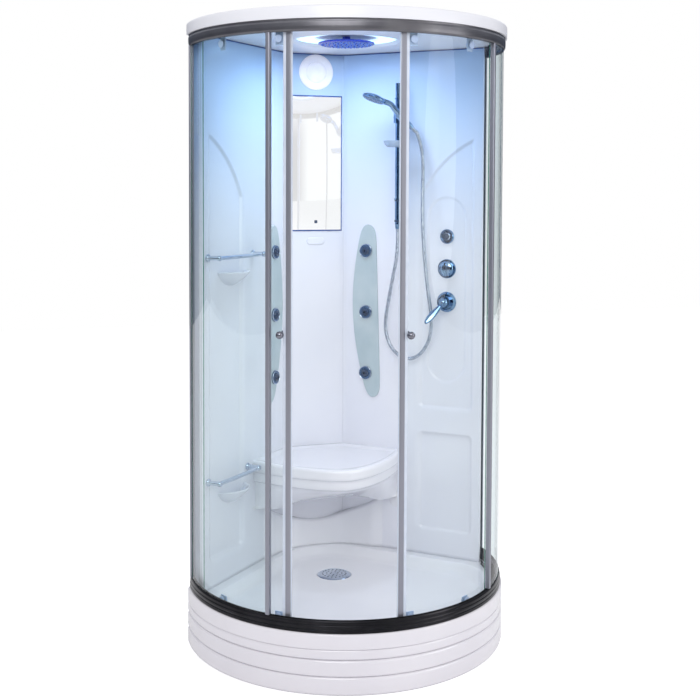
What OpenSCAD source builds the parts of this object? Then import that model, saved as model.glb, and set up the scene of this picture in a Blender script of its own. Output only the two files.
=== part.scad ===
// Corner shower cabin with a round sliding-door front, hydromassage jets, a seat and a lit roof.
// Z is up. The origin lies on the floor, on the upright axis that both curved doors turn about.
// X is to the right of a person who looks in through the doors, and Y is towards the room corner.
// A wall place is given as u along the wall towards the doors, z up and s out of the wall's face.

/* [Cabin] */
// Overall height
cabin_h = 2150; // [2080:5:2220]
// Radius of the tray and roof rims about the door axis
rim_r = 563; // [555:1:575]
// Distance from the door axis to the outer plane of each back wall
wall_out = 428; // [424:1:436]
// Depth of the moulded wall panels, face to outer plane
wall_depth = 85; // [80:1:92]
// Distance from the door axis to the face of the corner panel
corner_y = 372; // [366:1:380]
// Thickness of the moulded wall sheet
sheet_t = 5; // [4:0.5:6]
// Depth of the shallow recesses moulded in the walls
relief = 8; // [5:0.5:10]

/* [Tray] */
// Height of the tray rim
tray_h = 196; // [180:1:215]
// Depth of the basin below the rim
basin_depth = 41; // [30:1:50]
// Thickness of the tray moulding
tray_t = 6; // [5:0.5:8]
// Height of the rim moulding that shows above the apron
lip_h = 48; // [46:1:60]
// Depth of the grooves between the apron ribs
rib_d = 6; // [3:0.5:8]
// Place of the drain behind the door axis
drain_y = 120; // [100:5:140]
// Radius of the drain cover
drain_r = 60; // [50:1:65]
// Outer radius of the waste spigot
waste_r = 20; // [16:1:22]
// Length of the waste spigot
waste_l = 40; // [30:1:50]
// Width of the steel frame tubes under the tray
tube_w = 25; // [20:1:30]

/* [Doors and rails] */
// Height of the top and bottom rails
rail_h = 40; // [36:1:44]
// Outer radius of the rails
rail_r = 558; // [556:1:559]
// Width of the rails' outer box, with the fixed glass in its middle
rail_w = 18; // [17.5:0.5:18.5]
// Distance from the rails' outer box to the middle of the door glass
door_gap = 9; // [8.5:0.5:9.5]
// Thickness of all four panes
glass_t = 5; // [4:0.5:6]
// Angle of the fixed posts from the middle of the front, degrees
post_a = 44.5; // [43.5:0.5:45]
// How far the left door stands open, degrees
left_open = 36.5; // [0:0.5:36.5]
// Radius of the door wheels
wheel_r = 10; // [8:0.5:10]
// Radius of the door knobs
knob_r = 13; // [10:0.5:13.5]
// Height of the door knobs
knob_z = 1130; // [950:5:1250]
// Width of the upright profile on each door's leading edge
edge_w = 17; // [12:1:18]

/* [Seat and corner] */
// Height of the seat
seat_z = 588; // [520:2:640]
// How far the seat's front stands before the door axis
seat_front = 60; // [40:2:80]
// Height of the seat's front lip
seat_lip = 36; // [28:1:44]
// Width of the mirror
mirror_w = 212; // [180:2:216]
// Height of the mirror
mirror_h = 522; // [420:2:560]
// Height of the mirror's middle
mirror_z = 1684; // [1640:2:1700]
// Radius of the corner lamp
lamp_r = 68; // [50:1:70]

/* [Jets] */
// Distance of the jet columns from the middle of each wall
jet_u = 81; // [75:1:90]
// Height of the lowest jets
jet_z = 874; // [850:2:900]
// Distance from one jet to the next
jet_pitch = 237; // [215:1:240]
// Outer radius of a jet
jet_r = 26.5; // [25:0.5:28]
// Radius of a jet's ball
ball_r = 16; // [14:0.5:17]
// Length of the jet panels
leaf_h = 668; // [650:2:680]
// Thickness of the jet panels
leaf_t = 6; // [4:0.5:8]

/* [Slide bar] */
// Place of the bar along the right wall
bar_u = 74; // [68:1:78]
// Distance of the bar's axis from the wall
bar_s = 55; // [54:1:60]
// Radius of the bar
bar_r = 11; // [9:0.5:12]
// Height of the bar's lower end
bar_z = 1455; // [1440:1:1460]
// Length of the bar
bar_l = 527; // [522:1:540]
// Height of the hand shower's slider
slider_z = 1856; // [1854:1:1860]
// Height of the soap dish's rim
dish_z = 1766; // [1755:1:1766]
// Radius of the soap dish
dish_r = 44; // [40:1:48]
// Radius of the hand shower's head
head_r = 45; // [38:1:48]

/* [Controls] */
// Place of the controls along the right wall
ctrl_u = 247; // [245:1:255]
// Height of the mixer
mixer_z = 1164; // [1155:1:1170]
// Height of the diverter
diverter_z = 1289; // [1280:1:1295]
// Height of the push button
button_z = 1410; // [1400:1:1420]
// Length of the mixer's lever
lever_l = 100; // [88:1:102]
// Swing of the lever from straight down, towards the corner, degrees
lever_a = 35; // [20:1:38]

/* [Shelves] */
// Place of the shelves along the left wall
shelf_u = 208; // [200:1:215]
// Height of the upper shelf
shelf_top = 1295; // [1270:1:1320]
// Height of the lower shelf
shelf_low = 520; // [500:1:540]
// Place of the guard rails' outer feet along the wall
guard_out = 368; // [366:1:370]
// Place of the upper guard rail's inner foot along the wall
guard_in = 75; // [65:1:100]
// Place of the lower guard rail's inner foot along the wall
guard_low_in = 110; // [105:1:125]
// Distance of a guard rail's axis from the wall
guard_s = 46; // [40:1:60]
// Radius of a guard rail
guard_r = 8; // [6:0.5:9]

/* [Roof] */
// Height of the roof rim
roof_h = 40; // [36:1:44]
// Radius of the overhead shower
rose_r = 100; // [80:1:110]
// Radius of the lit recess in the roof
recess_r = 185; // [170:1:200]

/* [Hidden] */
$fn = 96;

// Clearances
fit_c = 0.3;    // between pieces that are set in each other
run_c = 0.1;    // radial, round what turns or slides, and over what only stands under another piece
hose_c = 0.05;  // between the hose and its nuts

// Cabin levels
roof_z = cabin_h - roof_h;         // underside of the roof rim, over the top rail
ceil_z = roof_z - sheet_t;         // underside of the ceiling, over the walls
wall_h = ceil_z - run_c - tray_h;
floor_z = tray_h - basin_depth;
pan_z = floor_z - tray_t;          // underside of the basin

// Cabin plan
inner_d = wall_out - wall_depth;                    // axis to the face of each wall
back_y = rim_r;                                     // the room corner is cut off here
end_a = 135 - acos(wall_out / rim_r);               // where the rims meet the back walls
flange_a = end_a - 1.2;                             // front face of the walls' end flanges
track_a = 84;                                       // end of the door track
joint_x = inner_d * sqrt(2) - corner_y;             // half width of the corner panel
joint_u = (joint_x - corner_y) / sqrt(2);           // where a wall meets the corner panel
far = 3 * rim_r;

// Door track
block_in = rail_r - rail_w;                         // inner face of the rails' outer box
fixed_r = rail_r - rail_w / 2;                      // middle of the fixed glass
door_r = block_in - door_gap;                       // middle of the door glass
door_in = door_r - glass_t / 2;
door_out = door_r + glass_t / 2;
fixed_in = fixed_r - glass_t / 2;
fixed_out = fixed_r + glass_t / 2;
groove_d = 10;                                      // depth of the grooves for the fixed glass
rail_in = door_in - 12.5;                           // inner edge of the rails
rail_low = tray_h + rail_h;                         // top of the bottom rail
rail_top = roof_z - rail_h + 2;                     // underside of the top rail
rail_head = roof_z - run_c;                         // upper face of the top rail
web_t = 3;
hole_r = 5;                                         // holes in the door glass
wheel_w = 7;
axle_r = 3;
tread_z = rail_top + 8 + web_t;                     // top of the rib that the wheels roll on
axle_z = tread_z + wheel_r + fit_c;
door_top = rail_top + 4;                            // upper edge of the door glass
door_low = tray_h + 10;                             // lower edge of the door glass
lead_a = 0.4;                                       // half the gap between the closed doors
edge_a = edge_w / door_r * 180 / PI;
glass_a = lead_a + 0.4;                             // leading edge of the glass, in its profile
tail_a = post_a + 1.5;                              // trailing edge, behind the fixed post
knob_a = lead_a + edge_a + 1.6;
hang_a = [5, 31];                                   // places of the hangers on a door
grip_w = 28;                                        // width of a hanger
plate_t = 3.5;
shoe_z = rail_low - 8;
neck_r = 6;

// Corner
pad_l = 44;
pad_r = 14;
pad_z = 1384;
lamp_z = 2034;
glass_mirror_t = 4;

// Jets
jet_zs = [jet_z, jet_z + jet_pitch, jet_z + 2 * jet_pitch];
body_r = jet_r - 5.5;
jet_flange = 5;
jet_back = 22;
leaf_z = jet_z - 93;                                // lower end of the jet panels
ball_s = leaf_t + 1;
pipe_r = 9;
pipe_s = 58;                                        // pipes run this far behind the wall face

// Wall recesses
inset_u0 = 146;
inset_r = 14;
swoosh_z = 764;                                     // lower edge of the upper recess
swoosh_r = 418;                                     // radius of its rising top edge
swoosh_u = 528;
swoosh_zc = 1388;
low_z0 = 298;
low_z1 = 663;
oblong_r = 74.5;                                    // the recess round the controls
oblong_d = 5;
oblong_z0 = 863;
oblong_z1 = 1556;
ctrl_s = -relief - oblong_d;                        // the controls sit on this face

// Controls
plate_r = 38;
plate_h = 10;
cap_r = 24;
cap_h = 26;
hub_r = 19;
hub_s = ctrl_s + plate_h + cap_h - 3;
lever_rise = 28;                                    // slope of the lever away from the wall
dial_r = 29;
dial_h = 16;
stem_r = 6;
bezel_r = 27.6;
button_r = 14;
button_travel = 3;
tail_l = 10;                                        // depth of the knob and button stems behind the face

// Slide bar
bar_top = bar_z + bar_l;
foot_r = 19;
foot_t = 6;
arm_r = 8;
collar_r = 14;
collar_h = 5;
nut_r = 9.5;
nut_l = 18;
hose_r = 7;
clamp_r = 18;
clamp_h = 46;
side_l = 38;                                        // bar's axis to the hand shower's handle
grip_r = 12;
holder_r = 17;
holder_l = 28;
handle_rise = 45;
head_rise = 20;
aim = -138.7;                                       // heading of the handle, from the wall's u
handle_below = 42;
handle_above = 65;
neck_l = 62;
dish_u = bar_u + 4;
dish_s = bar_s + 37;
dish_h = 24;
dish_t = 3;

// Shelves
bowl_r = 105;
bowl_up = 50;
bowl_back = 35;

// Roof
rim_w = 45;
recess_z = roof_z + 12;
over_z = recess_z + sheet_t;                        // top of the recess moulding
feed_z = over_z + 9;                                // axis of the feed pipe over the roof
rose_z = ceil_z - 10;                               // face of the overhead shower
rose_t = 10;

// Base
frame_z = pan_z - tube_w;
foot_pad_r = 25;
foot_pad_h = 10;
stud_r = 6;
front_foot_y = -450;
side_foot_x = 410;
cross_y = -80;
rear_y = 255;
rear_x = 200;
feet = [[0, front_foot_y], [-side_foot_x, cross_y], [side_foot_x, cross_y],
    [-rear_x, rear_y], [rear_x, rear_y]];
trap_r = 45;
trap_h = 70;
spigot_z = 92;
spigot_y = 470;

// Route of the hose between its two nuts, as [u, s, z], from the bar's lower end to the hand shower
hose_pts = [[73, 55, 1365], [66, 54, 1310], [52, 52, 1243], [36, 50, 1165], [24, 48, 1095], [24, 44, 1040],
    [42, 40, 990], [76, 36, 956], [116, 32, 946], [157, 28, 966], [189, 26, 1015], [201, 26, 1071],
    [198, 28, 1138], [190, 32, 1200], [179, 38, 1312], [172, 44, 1440], [170, 45, 1560], [169, 39, 1670],
    [160, 36, 1740]];

// Helpers

function seg_n(a, b) = let (d = b - a) [-d[1], d[0]] / norm(d);

// A line of points moved sideways by t, to the left of its run
function shift_line(p, t) = [for (i = [0 : len(p) - 1])
    let (n0 = seg_n(p[max(i, 1) - 1], p[max(i, 1)]),
         n1 = seg_n(p[min(i, len(p) - 2)], p[min(i + 1, len(p) - 1)]),
         m = n0 + n1)
    p[i] + 2 * t / (m * m) * m];

// The cabin's outline: a circle cut by the two back walls and the room corner
module plan(r, d, b) {
    intersection() {
        circle(r = r);
        rotate(45) translate([-far, -far]) square(far + d);
        translate([-far, -far]) square([2 * far, far + b]);
    }
}

module slab(r, d, b, z0, z1) translate([0, 0, z0]) linear_extrude(z1 - z0) plan(r, d, b);

// A piece of ring between two angles from the middle of the front, positive to the right
module arc(r0, r1, a0, a1, z0, z1) {
    rotate([0, 0, a0 - 90]) rotate_extrude(angle = a1 - a0, $fn = 192)
        translate([r0, z0]) square([r1 - r0, z1 - z0]);
}

// Puts a shape on a ray from the door axis: local z runs outwards from radius r
module on_ray(a, r, z) rotate([0, 0, a]) translate([0, -r, z]) rotate([90, 0, 0]) children();

// Wall frames: x is u, y is up, z is s, out of the face
module on_right() rotate([0, 0, -45]) translate([0, inner_d, 0]) rotate([90, 0, 0]) children();
module on_left() mirror([1, 0, 0]) on_right() children();
module at_wall(u, z, s) translate([u, z, s]) children();
// Turns a z-up shape into a wall frame
module upright() rotate([-90, 0, 0]) children();

module rod(r, z0, z1) translate([0, 0, z0]) cylinder(r = r, h = z1 - z0);

module tube_along(a, b, r) {
    d = b - a;
    translate(a) rotate([0, acos(d[2] / norm(d)), atan2(d[1], d[0])]) cylinder(r = r, h = norm(d));
}

module round_rect(u0, u1, z0, z1, r) {
    translate([u0 + r, z0]) square([u1 - u0 - 2 * r, z1 - z0]);
    translate([u0, z0 + r]) square([u1 - u0, z1 - z0 - 2 * r]);
    for (u = [u0 + r, u1 - r], z = [z0 + r, z1 - r]) translate([u, z]) circle(r = r);
}

module oblong(u, z0, z1, r) {
    translate([u - r, z0 + r]) square([2 * r, z1 - z0 - 2 * r]);
    for (z = [z0 + r, z1 - r]) translate([u, z]) circle(r = r);
}

// Walls

function polar_u(r, a) = let (x = r * sin(a), y = -r * cos(a)) [(x - y) / sqrt(2), (x + y) / sqrt(2) - inner_d];

edge_r = 5;                                         // rounding of the walls' front corner
edge_t = 8;                                         // thickness of the fluted front edge
flute_d = 3;
flange_w = 0.6;                                     // thickness of the end flange, degrees
wall_edge = door_in - 3;
face_end = sqrt(pow(wall_edge - edge_r, 2) - pow(inner_d + edge_r, 2));
inset_u1 = face_end - 35;
bend_a = 135 - acos((inner_d + edge_r) / (wall_edge - edge_r));

module upper_recess(g) {
    intersection() {
        round_rect(inset_u0 - g, inset_u1 + g, swoosh_z - g, swoosh_zc + swoosh_r + 40, inset_r + g);
        translate([swoosh_u, swoosh_zc]) circle(r = swoosh_r + g, $fn = 180);
    }
}

module lower_recess(g) round_rect(inset_u0 - g, inset_u1 + g, low_z0 - g, low_z1 + g, inset_r + g);

// The left wall has one tall recess in place of two
module tall_recess(g) {
    upper_recess(g);
    round_rect(inset_u0 - g, inset_u1 + g, low_z0 - g, swoosh_z + 3 * inset_r, inset_r + g);
}

// The rounding where the face turns into the front edge, for t from 0 to 1
function corner_at(t) = (1 - t) * (1 - t) * [face_end, 0] + 2 * t * (1 - t) * [face_end + edge_r, 0]
    + t * t * polar_u(wall_edge, bend_a);

// Three shallow upright flutes along the front edge, each with two slanting sides
flute_w = 1.1;                                      // width of one flute, degrees
function flute_a(k) = bend_a + 1 + k * (flange_a - bend_a - 2) / 2.6;
function flute_pts() = [for (k = [0 : 2], q = [[0, 0], [0.15, flute_d], [flute_w - 0.15, flute_d], [flute_w, 0]])
    polar_u(wall_edge - q[1], flute_a(k) + q[0])];
// The inner side of the front edge, from the flange to the back of the flat sheet
back_a = 135 - acos((inner_d + sheet_t) / (wall_edge - edge_t));
function back_pts(r) = [for (k = [0 : 6]) polar_u(r, flange_a + (back_a - flange_a) * k / 6)];

// The face, its rounded corner, the fluted front edge and the end flange are one section; two end plates close it
module wall_sheet() {
    rotate([0, 0, -45]) translate([0, inner_d, tray_h]) {
        linear_extrude(wall_h) polygon(concat([[joint_u, 0]], [for (t = [0 : 0.25 : 1]) corner_at(t)], flute_pts(),
            [polar_u(wall_edge, flange_a), polar_u(rail_r - 2, flange_a), polar_u(rail_r - 2, flange_a + flange_w),
            polar_u(wall_edge - edge_t, flange_a + flange_w)], back_pts(wall_edge - edge_t),
            [[joint_u, sheet_t]]));
        for (z = [0, wall_h - sheet_t]) translate([0, 0, z]) linear_extrude(sheet_t)
            polygon([[joint_u, 1], [face_end, 1], polar_u(wall_edge - 5, bend_a + 0.5),
                polar_u(wall_edge - 5, flange_a), polar_u(rail_r - 8, flange_a + 0.3),
                polar_u(rail_r - 8, end_a - 0.3), [joint_u, wall_depth]]);
    }
}

module right_recesses(g) {
    upper_recess(g);
    lower_recess(g);
}

module right_wall() {
    color("#cfdcee") difference() {
        union() {
            wall_sheet();
            on_right() {
                translate([0, 0, -relief - sheet_t]) linear_extrude(relief + sheet_t) right_recesses(sheet_t);
                translate([0, 0, ctrl_s - sheet_t]) linear_extrude(oblong_d + sheet_t)
                    oblong(ctrl_u, oblong_z0 - sheet_t, oblong_z1 + sheet_t, oblong_r + sheet_t);
            }
        }
        on_right() {
            translate([0, 0, -relief]) linear_extrude(relief + 1) right_recesses(0);
            translate([0, 0, ctrl_s]) linear_extrude(oblong_d + relief)
                oblong(ctrl_u, oblong_z0, oblong_z1, oblong_r);
            jet_holes();
            at_wall(ctrl_u, mixer_z, 0) rod(cap_r, ctrl_s - 2 * sheet_t, 0);
            at_wall(ctrl_u, diverter_z, 0) rod(stem_r + 2, ctrl_s - 2 * sheet_t, 0);
            at_wall(ctrl_u, button_z, 0) rod(button_r, ctrl_s - 2 * sheet_t, 0);
            at_wall(bar_u, outlet_z, 0) rod(arm_r - 1 + fit_c, -2 * sheet_t, 1);
            at_wall(ctrl_u, 0, -pipe_s) upright() rod(pipe_r + 1, ceil_z - 2 * sheet_t, ceil_z + 1);
        }
    }
}

module jet_holes() for (z = jet_zs) at_wall(-jet_u, z, 0) rod(body_r + fit_c, -2 * sheet_t, 1);

// A half bowl stands out of the recess and carries bottles behind the guard rail
module shelf_bowl(z) {
    difference() {
        intersection() {
            at_wall(shelf_u, z + bowl_up, -bowl_back) sphere(r = bowl_r);
            translate([0, z - bowl_r, -relief - 1]) cube([2 * shelf_u, bowl_r, bowl_r]);
        }
        at_wall(shelf_u, z, -bowl_back) rotate([-90, 0, 0]) rod(bowl_r - bowl_back / 2, -4, 1);
    }
}

module left_wall() {
    color("#c9dbee") mirror([1, 0, 0]) {
        difference() {
            union() {
                wall_sheet();
                on_right() translate([0, 0, -relief - sheet_t]) linear_extrude(relief + sheet_t) tall_recess(sheet_t);
            }
            on_right() {
                translate([0, 0, -relief]) linear_extrude(relief + 1) tall_recess(0);
                jet_holes();
            }
        }
        on_right() {
            shelf_bowl(shelf_top);
            shelf_bowl(shelf_low);
        }
    }
}

module corner_plan(d) {
    x = joint_x + d;
    y = corner_y + d;
    polygon([[-joint_x, corner_y], [joint_x, corner_y], [x, y], [-x, y]]);
}

module corner_panel() {
    color("#dfe6f2") difference() {
        union() {
            translate([0, 0, tray_h]) linear_extrude(wall_h) corner_plan(sheet_t);
            for (z = [0, wall_h - sheet_t]) translate([0, 0, tray_h + z]) linear_extrude(sheet_t)
                corner_plan(wall_depth / sqrt(2));
            translate([0, corner_y, pad_z]) rotate([90, 0, 0]) linear_extrude(3) {
                translate([-pad_l / 2, -pad_r]) square([pad_l, 2 * pad_r]);
                for (x = [-pad_l / 2, pad_l / 2]) translate([x, 0]) circle(r = pad_r);
            }
        }
        translate([0, corner_y, lamp_z]) rotate([90, 0, 0]) rod(lamp_r - 20, -2 * sheet_t, 1);
    }
}

module wall_mirror() {
    color("#f4f8fb") translate([-mirror_w / 2, corner_y - glass_mirror_t, mirror_z - mirror_h / 2])
        cube([mirror_w, glass_mirror_t, mirror_h]);
}

module corner_lamp() {
    color("#eef0f8") translate([0, corner_y, lamp_z]) rotate([90, 0, 0]) rotate_extrude()
        polygon([[0, -sheet_t], [lamp_r - 20 - fit_c, -sheet_t], [lamp_r - 20 - fit_c, 0], [lamp_r, 0],
            [lamp_r, 3], [lamp_r - 6, 6], [lamp_r * 0.6, 6], [lamp_r * 0.57, 9], [lamp_r * 0.52, 6],
            [lamp_r * 0.5, 7], [0, 10]]);
}

// Seat

seat_k = 0.01592;
seat_p = 1.7;
seat_step = 32;
seat_skirt = 36;
seat_dish = 6;
seat_t = 7;
scoop_z = seat_z - 270;
scoop_y = corner_y - 70;

function seat_y(x) = -seat_front + seat_k * pow(abs(x), seat_p);
seat_curve = [for (k = [-24 : 24]) let (x = k * 15) [x, seat_y(x)]];

// Everything behind the seat's front curve, set back by g, and inside the cabin
module seat_plan(g, d = 0) {
    intersection() {
        plan(rim_r, inner_d - d, corner_y - d);
        polygon(concat(shift_line(seat_curve, g), [[far, far], [-far, far]]));
    }
}

module seat() {
    z1 = seat_z - seat_lip;
    z2 = z1 - seat_step;
    z3 = z2 - seat_skirt;
    color("#e6e8f3") difference() {
        union() {
            translate([0, 0, z1]) linear_extrude(seat_lip) seat_plan(0);
            translate([0, 0, z2]) linear_extrude(seat_step) seat_plan(14);
            translate([0, 0, z3]) linear_extrude(seat_skirt) seat_plan(26);
            hull() {
                translate([0, 0, z3]) linear_extrude(1) seat_plan(32);
                translate([0, 0, scoop_z]) linear_extrude(1) intersection() {
                    seat_plan(0);
                    translate([-far, scoop_y]) square(2 * far);
                }
            }
        }
        translate([0, 0, seat_z - seat_dish]) linear_extrude(seat_dish + 1) seat_plan(34, 26);
        translate([0, 0, z3]) linear_extrude(seat_z - seat_dish - seat_t - z3) seat_plan(26 + seat_t);
    }
}

// Tray and base

basin_r = rail_in - 8;
basin_in = 25;
slope_w = 28;

module basin(g) {
    hull() {
        slab(basin_r + g, inner_d - basin_in + g, corner_y - basin_in + g, tray_h - 1, tray_h + 1);
        slab(basin_r - slope_w + g, inner_d - basin_in - slope_w + g, corner_y - basin_in - slope_w + g,
            floor_z - g, floor_z - g + 1);
    }
}

module tray() {
    color("#eceef8") difference() {
        union() {
            difference() {
                slab(rim_r, wall_out, back_y, tray_h - lip_h, tray_h);
                slab(rim_r - 8, wall_out - 8, back_y - 8, tray_h - lip_h - 1, tray_h - tray_t);
            }
            difference() {
                basin(tray_t);
                translate([-far, -far, tray_h]) cube([2 * far, 2 * far, 10]);
            }
        }
        basin(0);
        translate([0, drain_y, 0]) {
            rod(drain_r + 3, floor_z - 3, floor_z + 1);
            rod(trap_r - 5, pan_z - 1, floor_z);
        }
    }
}

apron_h = tray_h - lip_h;
rib_z = [0, 0.4 * apron_h, 0.765 * apron_h, apron_h];

// The curved front panel with its three overlapping ribs
module apron() {
    color("#e9ebf6") intersection() {
        rotate([0, 0, -90 - end_a]) rotate_extrude(angle = 2 * end_a, $fn = 192) polygon(concat(
            [[rim_r - rib_d - 5, 0]],
            [for (k = [0 : 2], q = [[rib_d - 2, 0], [0, 6], [1, -8], [rib_d, -1]])
                [rim_r - q[0], (q[1] < 0 ? rib_z[k + 1] : rib_z[k]) + q[1]]],
            [[rim_r - rib_d - 5, apron_h]]));
        slab(rim_r + 1, wall_out, back_y, -1, tray_h);
    }
}

module bar_box(x0, x1, y0, y1) translate([x0, y0, frame_z]) cube([x1 - x0, y1 - y0, tube_w]);

module tray_frame() {
    w = tube_w / 2;
    color("#9aa0a6") {
        bar_box(-w, w, front_foot_y - w, cross_y - w);
        bar_box(-side_foot_x - w, side_foot_x + w, cross_y - w, cross_y + w);
        for (s = [-1, 1]) bar_box(s * rear_x - w, s * rear_x + w, cross_y + w, rear_y - w);
        bar_box(-rear_x - w, rear_x + w, rear_y - w, rear_y + w);
    }
}

module levelling_feet() {
    color("#4a4d52") for (p = feet) translate([p[0], p[1], 0]) {
        rod(foot_pad_r, 0, foot_pad_h);
        rod(stud_r, foot_pad_h - 1, frame_z);
        translate([0, 0, frame_z - 8]) cylinder(r = 1.8 * stud_r, h = 6, $fn = 6);
    }
}

module waste_trap() {
    color("#e8e8e8") {
        difference() {
            union() {
                translate([0, drain_y, 0]) rod(trap_r, pan_z - trap_h, pan_z);
                translate([0, spigot_y, spigot_z]) rotate([90, 0, 0]) {
                    rod(waste_r, 0, waste_l);
                    rod(waste_r - 1.5, waste_l - 1, spigot_y - drain_y);
                }
            }
            translate([0, drain_y, 0]) rod(trap_r - 5 + fit_c, pan_z - trap_h + 6, pan_z + 1);
            translate([0, spigot_y, spigot_z]) rotate([90, 0, 0]) rod(waste_r - 4, -1, spigot_y - drain_y);
        }
    }
}

module drain_flange() {
    color("#c9ced6") translate([0, drain_y, 0]) difference() {
        union() {
            rod(drain_r + 2.5, floor_z - 3, floor_z);
            rod(trap_r - 5 - fit_c, pan_z - 12, floor_z - 3);
        }
        rod(trap_r - 8, pan_z - 13, floor_z + 1);
    }
}

module drain_cover() {
    color("#aab4c4") translate([0, drain_y, 0]) difference() {
        union() {
            rotate_extrude() polygon([[0, floor_z + fit_c], [drain_r, floor_z + fit_c], [drain_r, floor_z + 1.5],
                [drain_r - 5, floor_z + 4], [0, floor_z + 5]]);
            rod(trap_r - 8 - run_c, floor_z - 8, floor_z + 1);
        }
        rod(trap_r - 11, floor_z - 9, floor_z + 1.5);
        for (k = [1 : 3], a = [0 : 60 / k : 359]) rotate([0, 0, a]) translate([k * drain_r * 0.24, 0, 0])
            rod(3.2, floor_z - 1, floor_z + 6);
    }
}

// Roof

// An open C of skirt, top rim and base plate, with the lit recess over the middle
module roof() {
    color("#f0f0f5") difference() {
        union() {
            difference() {
                slab(rim_r, wall_out, back_y, roof_z, cabin_h);
                slab(rim_r - sheet_t, wall_out - sheet_t, back_y - sheet_t, roof_z + sheet_t, cabin_h - sheet_t);
                slab(rim_r - rim_w, wall_out - rim_w, back_y - rim_w, roof_z + sheet_t, cabin_h + 1);
            }
            slab(rail_in - fit_c, wall_out, back_y, ceil_z, roof_z + 1);
            rod(recess_r + sheet_t, ceil_z, over_z);
        }
        rod(recess_r, ceil_z - 1, recess_z);
        rod(stem_rose + fit_c, ceil_z, over_z + 1);
        on_right() at_wall(ctrl_u, 0, -pipe_s) upright() rod(pipe_r + 1, ceil_z - 1, over_z);
    }
}

stem_rose = 14;
feed_r = 7;
riser_top = [(inner_d + pipe_s + ctrl_u) / sqrt(2), (inner_d + pipe_s - ctrl_u) / sqrt(2), feed_z];

module overhead_shower() {
    color("#1f4fd0") difference() {
        union() {
            rotate_extrude() polygon([[0, rose_z], [rose_r - 8, rose_z], [rose_r, rose_z + 3],
                [rose_r, rose_z + rose_t - 3], [rose_r - 10, rose_z + rose_t], [0, rose_z + rose_t + 4]]);
            rod(stem_rose, rose_z + rose_t, feed_z + feed_r + 1);
            for (k = [1 : 4], a = [0 : 60 / k : 359]) rotate([0, 0, a + 15 * k])
                translate([k * rose_r * 0.21, 0, 0]) rod(2.2, rose_z - 2, rose_z + 1);
        }
        rod(5, rose_z + 4, feed_z);
    }
}

module roof_lamp() {
    color("#bff3ff") rotate_extrude() polygon([[rose_r + 14, recess_z - 5], [recess_r - 8, recess_z - 5],
        [recess_r - 5, recess_z], [rose_r + 11, recess_z]]);
}

// Jets

// A leaf: one side bows out towards the corner, the other is nearly straight
function leaf_u(s) = 29 - 24 * s - jet_u;
function leaf_end(s) = sqrt(1 - pow(abs(2 * s - 1), 18));
function leaf_in(s) = leaf_u(s) - (24 + 49 * sin(180 * s)) * leaf_end(s);
function leaf_out(s) = leaf_u(s) + (32 + 3 * s) * leaf_end(s);
leaf_s = [for (k = [0 : 24]) (1 - cos(180 * k / 24)) / 2];

module jet_panel() {
    difference() {
        linear_extrude(leaf_t) polygon(concat([for (s = leaf_s) [leaf_out(s), leaf_z + leaf_h * s]],
            [for (k = [23 : -1 : 1]) [leaf_in(leaf_s[k]), leaf_z + leaf_h * leaf_s[k]]]));
        for (z = jet_zs) at_wall(-jet_u, z, 0) rod(body_r + fit_c, -1, leaf_t + 1);
    }
}

module left_jet_panel() color("#b9cfd6") on_left() jet_panel();
module right_jet_panel() color("#b9cfd6") on_right() jet_panel();

module jet_bezel() {
    difference() {
        union() {
            rod(body_r, -jet_back, leaf_t + 1);
            rod(jet_r, leaf_t, leaf_t + jet_flange - 2);
            translate([0, 0, leaf_t + jet_flange - 2]) cylinder(r1 = jet_r, r2 = jet_r - 2, h = 2);
        }
        translate([0, 0, ball_s]) sphere(r = ball_r + run_c);
        rod(ball_r - 4, -jet_back - 1, 0);
    }
}

module jet_bezels() {
    color("#8f9bb0") for (z = jet_zs) {
        on_left() at_wall(-jet_u, z, 0) jet_bezel();
        on_right() at_wall(-jet_u, z, 0) jet_bezel();
    }
}

// The ball tilts in its seat, and its snout carries the water hole
module jet_nozzle(k) {
    color("#5d6f93") at_wall(-jet_u, jet_zs[k], ball_s) difference() {
        union() {
            intersection() {
                sphere(r = ball_r);
                rod(ball_r + 1, -ball_r * 0.6, ball_r * 0.68);
            }
            rod(ball_r * 0.5, 0, ball_r * 0.85);
        }
        rod(ball_r * 0.25, -ball_r, ball_r);
    }
}

// Pipes behind the walls: a riser from the mixer, a branch to each jet column and the roof feed
pipe_low = jet_z - 60;
pipe_turn = inner_d + pipe_s - (corner_y + 44) * sqrt(2);

module wall_pipe(a, b) tube_along([a[0], a[1], -pipe_s], [b[0], b[1], -pipe_s], pipe_r);

// An elbow or tee fitting
module fitting(u, z) at_wall(u, z, -pipe_s) sphere(r = pipe_r + 2, $fn = 48);

module jet_column() {
    wall_pipe([-jet_u, pipe_low], [-jet_u, jet_zs[2]]);
    wall_pipe([-jet_u, pipe_low], [pipe_turn, pipe_low]);
    fitting(-jet_u, pipe_low);
    fitting(pipe_turn, pipe_low);
    for (z = jet_zs) {
        fitting(-jet_u, z);
        at_wall(-jet_u, z, 0) {
            rod(pipe_r - 1, -pipe_s, -jet_back);
            rod(body_r - 4, -jet_back - 6, -jet_back);
        }
    }
}

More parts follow.
